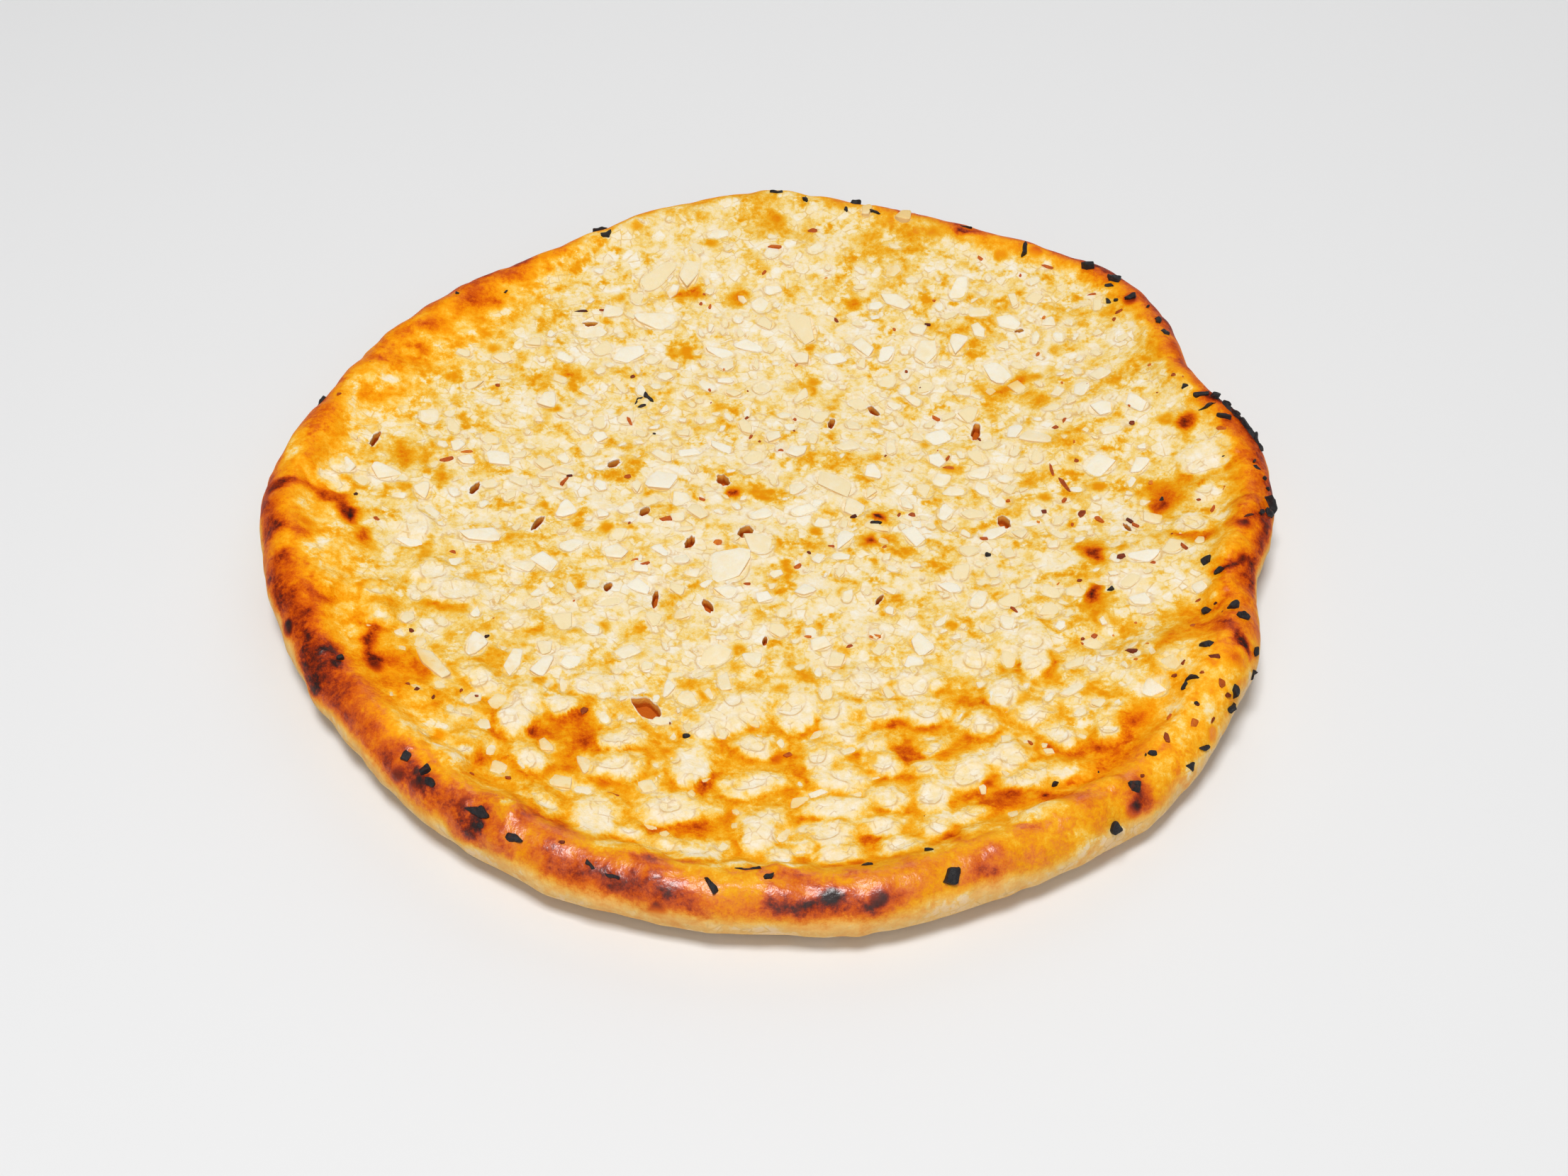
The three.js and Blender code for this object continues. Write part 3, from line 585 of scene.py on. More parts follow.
def vertexNormals(obj):
    normals = np.empty(len(obj.data.vertices) * 3)
    obj.data.vertex_normals.foreach_get("vector", normals)
    return normals.reshape(-1, 3)


def addValues(obj, name, values):
    layer = obj.data.attributes.get(name) or obj.data.attributes.new(name, "FLOAT", "POINT")
    layer.data.foreach_set("value", np.ascontiguousarray(values, np.float32))


def toFrame(points):
    # mm from the outline's middle, to metres in the frame
    return (points + np.array([*bread["middle"], 0])) * mm


def fromFrame(points):
    return points / mm - np.array([*bread["middle"], 0])


def withinCad(points):
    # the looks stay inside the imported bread's box; tall places are eased down rather than cut off
    low, high = fromFrame(np.array(cadBox))
    ease, share = high[2] - bread["boxEase"], bread["easeShare"]
    points[:, 2] = np.where(points[:, 2] > ease, ease + share * (points[:, 2] - ease), points[:, 2])
    return np.clip(points, low + bread["boxMargin"], high - bread["boxMargin"])


def discPlace(a, b):
    # a square of side 2 laid out as a disc: share of the radius, and angle
    share = np.maximum(np.abs(a), np.abs(b))
    safe = np.where(share > 0, share, 1)
    wide = np.abs(a) >= np.abs(b)
    angle = np.where(wide, 45 * b / safe * np.sign(a) + np.where(a < 0, 180, 0),
                     np.sign(b) * 90 - 45 * a / safe * np.sign(b))
    return share, angle % 360


def makeBread():
    # a grid for the top, its border drawn down and in, a coarser grid closing it underneath
    deselectAll()
    cells = bread["topCells"]
    bpy.ops.mesh.primitive_grid_add(x_subdivisions=cells, y_subdivisions=cells, size=2)
    obj = bpy.context.object
    obj.name = obj.data.name = "bread"
    rings, drop = bread["sideRings"] + bread["liftRings"], bread["ringDrop"]
    bpy.ops.object.mode_set(mode="EDIT")
    bpy.ops.mesh.select_mode(type="EDGE")
    bpy.ops.mesh.select_all(action="DESELECT")
    bpy.ops.mesh.select_non_manifold()
    for ring in range(rings):
        bpy.ops.mesh.extrude_edges_move(TRANSFORM_OT_translate={"value": (0, 0, -drop)})
    bpy.ops.mesh.select_all(action="DESELECT")
    cells = bread["underCells"]
    bpy.ops.mesh.primitive_grid_add(x_subdivisions=cells, y_subdivisions=cells, size=2 * bread["underShare"],
                                    location=(0, 0, -drop * (rings + 1)))
    bpy.ops.mesh.flip_normals()
    bpy.ops.mesh.select_all(action="DESELECT")
    bpy.ops.mesh.select_non_manifold()
    bpy.ops.mesh.bridge_edge_loops()
    bpy.ops.mesh.select_all(action="SELECT")
    bpy.ops.mesh.quads_convert_to_tris(quad_method="SHORTEST_DIAGONAL")
    bpy.ops.object.mode_set(mode="OBJECT")

    flat = vertexPlaces(obj)
    share, angle = discPlace(flat[:, 0], flat[:, 1])
    crest = crestRadius(angle)
    ring = np.rint(-flat[:, 2] / drop).astype(int)
    isTop, isUnder = ring == 0, ring == rings + 1

    # the top, out over the crest to the outermost edge
    run = share * (crest + bread["arcLength"])
    tilt = 90 * (1 - np.clip((run - crest) / bread["arcLength"], 0, 1))
    edgeRadius, edgeZ = edgePlace(angle, tilt)
    radius = np.where(run < crest, run, edgeRadius)
    height = np.where(run < crest, crustTop(angle, run), edgeZ)
    # the outer side below the edge, and the lift of the underside
    side = ~isTop & ~isUnder
    tilt[side] = -90 * np.minimum(ring[side] / bread["sideRings"], 1)
    edgeRadius, edgeZ = edgePlace(angle, tilt)
    inward = np.maximum(ring - bread["sideRings"], 0) * bread["liftStep"]
    radius = np.where(side, np.where(inward > 0, crest - inward, edgeRadius), radius)
    height = np.where(side, np.where(inward > 0, crustUnder(angle, crest - inward), edgeZ), height)
    # the underside
    footRadius = share / bread["underShare"] * (crest - (bread["liftRings"] + 1) * bread["liftStep"])
    radius = np.where(isUnder, footRadius, radius)
    height = np.where(isUnder, crustUnder(angle, footRadius), height)
    tilt = np.where(isUnder, -90, tilt)

    points = np.stack([radius * np.cos(np.radians(angle)), radius * np.sin(np.radians(angle)), height], axis=1)
    setPlaces(obj, toFrame(points))
    normals = vertexNormals(obj)

    # relief: hills and wrinkles everywhere, the garlic's dips and lips on top
    garlicRise, chipAway, lumpAway, chipSide, shadedCrease = stampGarlic(points)
    onTop, isTop = smooth(20, 60, tilt), isTop.astype(float)
    inset = (crest + bread["arcLength"] - run) * isTop
    hilly = crustHills(points)
    relief = hilly + garlicRise * onTop
    relief = relief + bread["rimWrinkles"] * hills(points, 4.5, 4) * smooth(22, 10, inset) * isTop
    foot = isUnder & (radius < bread["footRadius"] + 8)
    relief = np.where(foot, -bread["footHills"] * np.abs(hilly), relief)
    seam = np.exp(-(((tilt + bread["seamTilt"]) / bread["seamWidth"]) ** 2)) * lobeSum(bread["seams"], angle)
    relief = relief - bread["seamDepth"] * seam * side
    points = withinCad(points + normals * relief[:, None])
    setPlaces(obj, toFrame(points))

    # browning, as values that the crust's paint reads
    bake, ring, paintedLight = bakeTop(points, inset)
    # the crease in front of a lump: browner, with painted shade
    bake = bake + browning["shadedCrease"] * shadedCrease * onTop * smooth(0.3, 0.42, bake) * smooth(0.8, 0.66, bake)
    swayed = tilt + 9 * hills(points, 12, 41) + 6 * hills(points, 5, 42)
    flank, lower = smooth(36, 2, swayed), smooth(-34, -68, swayed)
    sideBake = browning["sideBake"] + browning["sideKeeps"] * (bake - 0.6)
    bake = bake + flank * (np.minimum(bake, sideBake) - bake)
    bake = bake + (bakeUnder(points) - bake) * lower
    buttered = smooth(15, 9, inset) * (0.15 + 0.85 * smooth(-40, -90, points[:, 1]))
    far = garlic["far"]
    addValues(obj, "bake", np.clip(bake, 0, 1.1))
    addValues(obj, "lump", far + (lumpAway + lumps["rimFade"] * ring - far) * onTop * smooth(0.84, 0.6, bake))
    addValues(obj, "chip", far + (chipAway - far) * onTop)
    addValues(obj, "side", chipSide)
    addValues(obj, "paintedLight", paintedLight * isTop)
    addValues(obj, "flank", flank)
    addValues(obj, "crest", smooth(12, 44, swayed) * isTop * buttered)
    print("bread modelled:", len(obj.data.polygons), "triangles")
    return obj


def cutHoles(obj):
    # one ragged plug for each hole, joined, then taken out of the bread
    rng = np.random.default_rng(holes["seed"])
    corners, cutters = holes["corners"], []
    for x, y, length, width, turn in holes["places"]:
        deselectAll()
        bpy.ops.mesh.primitive_cylinder_add(vertices=corners, radius=0.5, depth=1, end_fill_type="TRIFAN")
        cutter = bpy.context.object
        places = vertexPlaces(cutter)
        isFoot = places[:, 2] < 0
        corner = np.rint(np.arctan2(places[:, 1], places[:, 0]) / (2 * np.pi) * corners).astype(int) % corners
        ragged = (1 + rng.uniform(-holes["ragged"], holes["ragged"], corners))[corner]
        narrow = np.where(isFoot, holes["foot"], holes["mouth"])
        places[:, :2] *= (ragged * narrow)[:, None] * np.array([length, width])
        turnedX, turnedY = alongAxes(places[:, 0], places[:, 1], -turn)
        ground = topHeight(np.array([x]), np.array([y]))[0]
        depth = min(holes["depth"], 0.8 * width + 1.2)
        height = np.where(isFoot, ground - depth, ground + holes["above"])
        setPlaces(cutter, toFrame(np.column_stack([turnedX + x, turnedY + y, height])))
        cutters.append(cutter)
    deselectAll()
    for cutter in cutters:
        cutter.select_set(True)
    bpy.context.view_layer.objects.active = cutters[0]
    bpy.ops.object.join()
    cutter = bpy.context.object
    pick(obj)
    cut = obj.modifiers.new("holes", "BOOLEAN")
    cut.operation = "DIFFERENCE"
    cut.solver = "MANIFOLD"
    cut.object = cutter
    bpy.ops.object.modifier_apply(modifier="holes")
    bpy.data.objects.remove(cutter)
    x, y, z = fromFrame(vertexPlaces(obj)).T
    sunk = topHeight(x, y) - z
    inHole = np.zeros(len(x), bool)
    for row in holes["places"]:
        inHole |= nearOval(x, y, row, 2) < holes["painted"]
    inHole &= (sunk > holes["sunkFrom"]) & (z > holes["lowest"]) & (np.hypot(x, y) < holes["outTo"])
    # painted shade: the deeper a place lies inside a hole, the darker it is painted
    addValues(obj, "hole", np.where(inHole, np.clip(sunk / holes["fullShade"], 0, 1), 0))
    print("holes torn, bread now has", len(obj.data.polygons), "faces")


def paint(red, green, blue):
    # a colour as seen on a screen, 0 to 255, to the values that a shader wants
    def linear(value):
        value = value / 255
        return value / 12.92 if value <= 0.04045 else ((value + 0.055) / 1.055) ** 2.4
    return (linear(red), linear(green), linear(blue), 1)


class Paint:
    # a material and the few kinds of node that this bread needs

    def __init__(self, name):
        self.material = bpy.data.materials.new(name)
        self.material.use_nodes = True
        self.tree = self.material.node_tree
        self.shader = self.tree.nodes["Principled BSDF"]
        self.place = self.tree.nodes.new("ShaderNodeTexCoord").outputs["Object"]

    def add(self, kind, inputs, **settings):
        made = self.tree.nodes.new(kind)
        for name, value in settings.items():
            setattr(made, name, value)
        for name, value in inputs.items():
            if isinstance(value, bpy.types.NodeSocket):
                self.tree.links.new(value, made.inputs[name])
            else:
                made.inputs[name].default_value = value
        return made

    def value(self, name):
        return self.add("ShaderNodeAttribute", {}, attribute_name=name).outputs["Fac"]

    def calc(self, operation, first, second=0.0, third=0.0):
        inputs = {0: first, 1: second, 2: third}
        return self.add("ShaderNodeMath", inputs, operation=operation).outputs[0]

    def times(self, first, second):
        return self.calc("MULTIPLY", first, second)

    def noise(self, size, detail=3, rough=0.55, bend=0.0):
        inputs = {"Vector": self.place, "Scale": 1 / (size * mm), "Detail": detail, "Roughness": rough,
                  "Distortion": bend}
        return self.add("ShaderNodeTexNoise", inputs).outputs["Fac"]

    def cells(self, size, feature, place):
        inputs = {"Vector": place, "Scale": 1 / (size * mm)}
        return self.add("ShaderNodeTexVoronoi", inputs, feature=feature)

    def span(self, value, low, high, newLow=0.0, newHigh=1.0):
        inputs = {"Value": value, "From Min": low, "From Max": high, "To Min": newLow, "To Max": newHigh}
        return self.add("ShaderNodeMapRange", inputs, interpolation_type="SMOOTHSTEP").outputs[0]

    def mix(self, share, first, second, blend="MIX"):
        inputs = {0: share, 6: first, 7: second}
        return self.add("ShaderNodeMix", inputs, data_type="RGBA", blend_type=blend).outputs[2]

    def ramp(self, value, stops):
        made = self.add("ShaderNodeValToRGB", {0: value})
        row = made.color_ramp.elements
        for at, colour in stops[2:]:
            row.new(at)
        for element, (at, colour) in zip(row, sorted(stops)):
            element.position = at
            element.color = paint(*colour)
        return made.outputs["Color"]

    def bump(self, height, depth):
        inputs = {"Height": height, "Distance": depth * mm, "Strength": 1.0}
        return self.add("ShaderNodeBump", inputs).outputs[0]

    def set(self, **sockets):
        for name, value in sockets.items():
            socket = self.shader.inputs[name.replace("_", " ")]
            if isinstance(value, bpy.types.NodeSocket):
                self.tree.links.new(value, socket)
            else:
                socket.default_value = value


crustLook = {
    "bakes": [                  # the colours from pale dough to char
        (0.0, (246, 238, 219)), (0.12, (245, 230, 197)), (0.25, (244, 221, 165)), (0.31, (243, 212, 134)),
        (0.37, (240, 201, 106)), (0.43, (238, 187, 73)), (0.5, (235, 171, 38)), (0.58, (231, 152, 8)),
        (0.66, (226, 130, 0)), (0.73, (218, 104, 0)), (0.8, (198, 78, 0)), (0.87, (152, 46, 2)),
        (0.94, (90, 26, 8)), (1.0, (40, 22, 20)),
    ],
    "rimPaintedLight": (1.19, 1.11, 1.0, 1),    # painted light: lifts the colour of the rim's band and the browned front
    "flank": (240, 190, 128),
    # painted shade in the thin crevices round chips and flakes
    "creviceShade": (216, 168, 100),
    # a hole's floor: toasted brown deepened with painted shade
    "hole": (196, 98, 26),
    "holeMouth": (244, 176, 74),
    "wide": 7,                  # mm across the mottling, in four sizes
    "patchy": 2.6,
    "fine": 1.1,
    "grain": 0.36,
    "blotchSize": 6.5,
    "dotSize": 11,              # mm between the round toasted dots
    "dotBrowning": 0.3,
    "flakeSize": 3.1,           # mm across the flakes of garlic under the skin
    "flakePaleness": 0.13,
    "flakeWaves": 260.0,        # their edges are wavy: waves in a metre, and metres that they reach
    "flakeBend": 0.0014,
    "lumpTone": 0.09,
    "grainDepth": 0.4,          # mm
    "roughness": 0.55,
    "specular": 0.04,
    "butterDepth": 0.55,
    "butterRoughness": 0.3,
    "butterIor": 1.55,
}


def crustPaint():
    p = Paint("bakedCrust")
    bake, lump, chip, side = p.value("bake"), p.value("lump"), p.value("chip"), p.value("side")
    wide, patchy = p.noise(crustLook["wide"]), p.noise(crustLook["patchy"], 3, 0.6)
    fine, grain = p.noise(crustLook["fine"], 3, 0.6), p.noise(crustLook["grain"], 2, 0.6)

    def sway(value, noise, amount):
        return p.calc("MULTIPLY_ADD", p.calc("SUBTRACT", noise, 0.5), amount, value)

    # the pale skin over the lumps of garlic
    halo = p.span(sway(sway(lump, patchy, 1.1), grain, 0.3), 0.95, -0.9)
    chipHalo = p.times(p.span(sway(chip, fine, 1.2), 1.3, 0), p.span(bake, 0.45, 0.7, 0.45, 0))
    halo = p.calc("MAXIMUM", halo, chipHalo)

    # the dough is paler and browner by turns, and golden in soft blotches with grainy edges
    calm = p.span(bake, 0.42, 0.62, 1, 0.4)
    browned = sway(bake, wide, p.times(calm, 0.75))
    browned = sway(browned, patchy, p.times(calm, 0.5))
    browned = sway(browned, fine, p.span(bake, 0.6, 0.8, 0.26, 0.2))
    browned = sway(browned, grain, p.span(bake, 0.6, 0.8, 0.2, 0.14))
    blotch = sway(sway(p.noise(crustLook["blotchSize"], 2, 0.5, 0.4), patchy, 0.3), fine, 0.2)
    golden = p.times(p.span(blotch, 0.44, 0.92), p.span(bake, 0.2, 0.6, 0.43, 0.2))
    golden = p.times(golden, p.span(p.noise(26, 2), 0.38, 0.6, 0.3, 1.15))
    browned = p.calc("ADD", browned, golden)

    # round toasted dots, some stronger than others
    dots = p.cells(crustLook["dotSize"], "F1", p.place)
    strength = p.add("ShaderNodeSeparateColor", {0: dots.outputs["Color"]}).outputs[1]
    dot = p.span(sway(sway(dots.outputs["Distance"], fine, 0.16), patchy, 0.12), 0.26, 0.06)
    dot = p.times(dot, p.span(strength, 0.25, 0.7))
    browned = p.calc("MULTIPLY_ADD", dot, crustLook["dotBrowning"], browned)
    browned = p.calc("SMOOTH_MIN", browned, p.calc("ADD", p.calc("MAXIMUM", bake, 0.44), 0.18), 0.2)

    # flakes of garlic that show through the skin, and the fine lines where they end
    waves = p.add("ShaderNodeTexNoise", {"Vector": p.place, "Scale": crustLook["flakeWaves"], "Detail": 1.0})
    push = {0: waves.outputs["Color"], "Scale": crustLook["flakeBend"]}
    push = p.add("ShaderNodeVectorMath", push, operation="SCALE").outputs[0]
    bent = p.add("ShaderNodeVectorMath", {0: p.place, 1: push}, operation="ADD").outputs[0]
    mosaic = p.cells(crustLook["flakeSize"], "F1", bent).outputs["Color"]
    mosaic = p.add("ShaderNodeSeparateColor", {0: mosaic}).outputs
    edges = p.cells(crustLook["flakeSize"], "DISTANCE_TO_EDGE", bent).outputs["Distance"]
    flake = p.times(p.span(mosaic[0], 0.4, 0.9), p.span(edges, 0.02, 0.1))
    flake = p.times(flake, p.span(browned, 0.5, 0.3))
    browned = p.calc("MULTIPLY_ADD", flake, -crustLook["flakePaleness"], browned)
    lumpTone = sway(sway(crustLook["lumpTone"], patchy, 0.5), fine, 0.3)
    lumpTone = p.calc("MULTIPLY_ADD", mosaic[2], 0.1, lumpTone)
    browned = p.calc("MULTIPLY_ADD", p.calc("SUBTRACT", lumpTone, browned), halo, browned)

    # the colour of so much browning: lifted by painted light on the rim, peach on its outer side, with painted
    # shade in the crevices
    colour = p.ramp(browned, crustLook["bakes"])
    # painted light on the rim's band and the front
    paintedLight = p.times(p.value("paintedLight"), p.span(browned, 0.2, 0.46, 0.3, 1))
    paintedLight = p.times(paintedLight, p.span(browned, 0.62, 0.74, 1, 0.4))
    colour = p.mix(paintedLight, colour, p.mix(1.0, colour, crustLook["rimPaintedLight"], "MULTIPLY"))
    flank = p.times(p.value("flank"), p.span(browned, 0.5, 0.78, 0.62, 0.1))
    colour = p.mix(flank, colour, paint(*crustLook["flank"]))
    # painted shade in thin lines along the flakes' edges and round each chip, stronger on a chip's front side
    shadeLines = p.times(p.span(edges, 0.07, 0.02), p.span(p.noise(3.6, 2), 0.5, 0.6))
    chipEdgeShade = p.times(p.span(chip, 0.0, 0.25), p.span(chip, 0.85, 0.3))
    chipEdgeShade = p.times(chipEdgeShade, p.span(sway(side, patchy, 3), -0.4, 0.9, 0.25, 1))
    shadeLines = p.calc("MAXIMUM", p.times(shadeLines, 0.45), p.times(chipEdgeShade, 0.75))
    shadeLines = p.times(shadeLines, p.span(browned, 0.5, 0.28))
    colour = p.mix(shadeLines, colour, paint(*crustLook["creviceShade"]))

    # inside the torn holes: golden at the mouth, browner the deeper it lies, partly toasted crumb and partly
    # painted shade
    hole = p.value("hole")
    holeShading = p.mix(p.span(hole, 0.25, 0.75), paint(*crustLook["holeMouth"]), paint(*crustLook["hole"]))
    colour = p.mix(p.span(hole, 0.04, 0.16), colour, holeShading)

    # browned crust is slick with butter, pale dough is dull
    height = p.calc("MULTIPLY_ADD", fine, 0.7, p.times(grain, 0.2))
    height = p.calc("MULTIPLY_ADD", mosaic[1], p.span(browned, 0.4, 0.6, 0.25, 0), height)
    normal = p.bump(height, crustLook["grainDepth"])
    gloss = p.times(p.span(browned, 0.5, 0.72), p.value("crest"))
    gloss = p.times(gloss, p.span(patchy, 0.3, 0.6, 0.5, 1))
    ripples = p.calc("MULTIPLY_ADD", patchy, 0.5, p.noise(crustLook["wide"], 2))
    p.set(Base_Color=colour, Roughness=crustLook["roughness"], Specular_IOR_Level=crustLook["specular"])
    p.set(Normal=normal, Coat_Weight=gloss, Coat_Normal=p.bump(ripples, crustLook["butterDepth"]))
    p.set(Coat_Roughness=crustLook["butterRoughness"], Coat_IOR=crustLook["butterIor"])
    return p.material


garlicLook = {
    "flesh": (246, 238, 218),
    "dull": (244, 224, 178),
    "rim": (218, 172, 104),     # painted shade down a chip's sides, where it sinks into the crust
    "golden": (242, 194, 84),
    "specular": 0.3,
    "glowThrough": 0.15,        # how much light goes through, and how deep in mm
    "glowDepth": 2,
    "glowColours": (1.0, 0.7, 0.4),
}


def garlicPaint():
    p = Paint("bakedGarlic")
    mottle, veins = p.noise(2.4, 3), p.noise(0.8, 3, 0.6, 1.2)
    whiteness = p.calc("ADD", p.value("tone"), p.times(p.calc("SUBTRACT", mottle, 0.5), 1.2))
    colour = p.mix(p.span(whiteness, 0, 1), paint(*garlicLook["dull"]), paint(*garlicLook["flesh"]))
    colour = p.mix(p.times(p.span(veins, 0.55, 0.75), 0.3), colour, paint(*garlicLook["dull"]))
    tinge = p.times(p.span(p.value("bake"), 0.2, 0.7), p.span(p.noise(3, 3), 0.42, 0.66))
    tinge = p.calc("MAXIMUM", p.times(tinge, 0.8), p.span(p.value("bake"), 0.42, 0.7, 0, 0.75))
    colour = p.mix(tinge, colour, paint(*garlicLook["golden"]))
    # painted shade on the chip's sides below its top, where it sinks into the crust
    colour = p.mix(p.times(p.span(p.value("drop"), 0.14, 0.4), 0.75), colour, paint(*garlicLook["rim"]))
    p.set(Base_Color=colour, Roughness=p.span(veins, 0.3, 0.7, 0.34, 0.5), Normal=p.bump(veins, 0.14))
    p.set(Specular_IOR_Level=garlicLook["specular"], Subsurface_Weight=garlicLook["glowThrough"])
    p.set(Subsurface_Scale=garlicLook["glowDepth"] * mm, Subsurface_Radius=garlicLook["glowColours"])
    return p.material


charLook = {
    "crumbs": [(0.3, (22, 20, 22)), (0.55, (34, 31, 33)), (0.75, (56, 51, 51))],
    "ember": (92, 40, 24),
    "specular": 0.3,
    "depth": 0.35,
}


def charPaint():
    p = Paint("blackChar")
    crumble = p.noise(0.9, 4, 0.7)
    ember = p.times(p.span(p.noise(2.2, 2), 0.6, 0.72), 0.5)
    colour = p.mix(ember, p.ramp(crumble, charLook["crumbs"]), paint(*charLook["ember"]))
    p.set(Base_Color=colour, Roughness=p.span(crumble, 0.3, 0.7, 0.36, 0.7))
    p.set(Specular_IOR_Level=charLook["specular"], Normal=p.bump(crumble, charLook["depth"]))
    return p.material


flakeLook = {
    "toasts": [(0.0, (228, 136, 34)), (0.35, (190, 86, 18)), (0.7, (116, 42, 14)), (1.0, (44, 24, 20))],
    "roughness": 0.5,
    "specular": 0.2,
    "depth": 0.15,
}


def flakePaint():
    p = Paint("toastedFlake")
    tone = p.calc("ADD", p.value("tone"), p.times(p.calc("SUBTRACT", p.noise(0.9, 3), 0.5), 0.5))
    p.set(Base_Color=p.ramp(tone, flakeLook["toasts"]), Roughness=flakeLook["roughness"])
    p.set(Specular_IOR_Level=flakeLook["specular"], Normal=p.bump(p.noise(0.6, 2), flakeLook["depth"]))
    return p.material


def topFace(obj):
    # leaves the object in edit mode with only its topmost face selected
    bpy.ops.object.mode_set(mode="EDIT")
    bpy.ops.mesh.select_mode(type="FACE")
    bpy.ops.mesh.select_all(action="DESELECT")
    bpy.ops.object.mode_set(mode="OBJECT")
    highest = max(obj.data.polygons, key=lambda face: face.center.z)
    highest.select = True
    bpy.ops.object.mode_set(mode="EDIT")


chipForm = {
    "around": 16,
    "sway": 0.28,               # how unevenly the sides of a chip face
    "reach": 0.42,
    "furthest": 0.66,
    "topShare": 0.93,
    "softening": ((0.07, 0.92), (0.03, 0.88), (0.02, 0.7)),     # how far up and how much narrower, step by step
}


def chipShape(corners, seed, rule):
    # one cut chip, 1 across and 1 thick: a few straight sides, uneven, with a softened upper edge
    rng = np.random.default_rng(seed)
    sway, uneven, crispness, around = chipForm["sway"], rule["uneven"], rule["crispness"], chipForm["around"]
    facing = 2 * np.pi * (np.arange(corners) + rng.uniform(-sway, sway, corners)) / corners
    reach = chipForm["reach"] * (1 + rng.uniform(-uneven, uneven, corners))
    deselectAll()
    bpy.ops.mesh.primitive_cylinder_add(vertices=around, radius=0.5, depth=1, end_fill_type="NGON")
    obj = bpy.context.object
    places = vertexPlaces(obj)
    angle = np.arctan2(places[:, 1], places[:, 0])
    nextFacing, nextReach = np.roll(facing, -1), np.roll(reach, -1)
    cornerX = reach * np.sin(nextFacing) - nextReach * np.sin(facing)
    cornerY = nextReach * np.cos(facing) - reach * np.cos(nextFacing)
    for corner in np.arctan2(cornerY, cornerX)[np.sin(nextFacing - facing) > 0.1]:
        off = np.abs((angle - corner + np.pi) % (2 * np.pi) - np.pi)
        if off.min() < np.pi / around:
            angle[off < off.min() + 0.01] = corner
    sides = np.maximum(np.cos(angle[:, None] - facing) / reach, 0)
    radius = np.minimum(1 / np.sum(sides ** crispness, axis=1) ** (1 / crispness), chipForm["furthest"])
    isTop = places[:, 2] > 0
    flat = np.column_stack([radius * np.cos(angle), radius * np.sin(angle)])
    low, high = flat.min(axis=0), flat.max(axis=0)
    flat = (flat - (low + high) / 2) / (high - low) * np.where(isTop, chipForm["topShare"], 1)[:, None]
    setPlaces(obj, np.column_stack([flat, isTop]))
    topFace(obj)
    for rise, share in chipForm["softening"]:
        bpy.ops.mesh.extrude_region_move(TRANSFORM_OT_translate={"value": (0, 0, rise)})
        bpy.ops.transform.resize(value=(share, share, 1), center_override=(0, 0, 0))
    bpy.ops.mesh.select_all(action="SELECT")
    bpy.ops.mesh.quads_convert_to_tris()
    if rule["cuts"]:
        bpy.ops.mesh.subdivide(number_cuts=rule["cuts"])
    bpy.ops.object.mode_set(mode="OBJECT")
    shape = vertexPlaces(obj), np.array([list(face.vertices) for face in obj.data.polygons])
    bpy.data.objects.remove(obj)
    return shape


def surfacePlace(x, y):
    # the crust's height and upward direction at each place
    step = 1.5
    here = np.column_stack([x, y, np.zeros_like(x)])

    def height(dx, dy):
        moved = here + np.array([dx, dy, 0])
        top = topHeight(moved[:, 0], moved[:, 1])
        return top + crustHills(np.column_stack([moved[:, :2], top]))
    slopeX = (height(step, 0) - height(-step, 0)) / (2 * step)
    slopeY = (height(0, step) - height(0, -step)) / (2 * step)
    normal = np.stack([-slopeX, -slopeY, np.ones_like(x)], axis=1)
    return height(0, 0), normal / np.linalg.norm(normal, axis=1)[:, None]


def layPieces(name, rule, rows, tones):
    # copies of a few chip shapes, one for each row, laid in the crust and joined to one mesh
    # a row is (x, y, length, width, turn, thickness, how far its top stands proud)
    shapes = [chipShape(corners, rule["shapeSeed"] + number, rule)
              for number, corners in enumerate(rule["corners"])]
    rows = np.array(rows, float)
    ground, normal = surfacePlace(rows[:, 0], rows[:, 1])
    rng = np.random.default_rng(len(rows))
    normal = normal + rule["lean"] * rng.uniform(-1, 1, normal.shape)
    verts, faces, drops, values = [], [], [], []
    count = 0
    for number, (x, y, length, width, turn, thickness, proud) in enumerate(rows):
        shape, shapeFaces = shapes[number % len(shapes)]
        top = shape[:, 2].max()
        flat = shape * np.array([length, width, thickness])
        flat[:, 2] += proud - top * thickness
        flat[:, 0], flat[:, 1] = alongAxes(flat[:, 0], flat[:, 1], -turn)
        tip = np.array(Vector((0, 0, 1)).rotation_difference(Vector(normal[number])).to_matrix())
        verts.append(flat @ tip.T + np.array([x, y, ground[number]]))
        faces.append(shapeFaces + count)
        drops.append((top - shape[:, 2]) * thickness)
        values.append(np.full(len(shape), tones[number]))
        count += len(shape)
    points = np.concatenate(verts)
    for axis in range(3):
        points[:, axis] += rule["crumble"] * hills(points, 1.5, 80 + axis)
    points = withinCad(points)
    mesh = bpy.data.meshes.new(name)
    mesh.from_pydata(toFrame(points), [], np.concatenate(faces).tolist())
    mesh.update()
    obj = bpy.data.objects.new(name, mesh)
    bpy.context.scene.collection.objects.link(obj)
    addValues(obj, "drop", np.concatenate(drops))
    addValues(obj, "tone", np.concatenate(values))
    addValues(obj, "bake", bakeTop(points, insetAt(points[:, 0], points[:, 1]))[0])
    print(name, "laid:", len(rows), "pieces,", len(mesh.polygons), "triangles")
    return obj


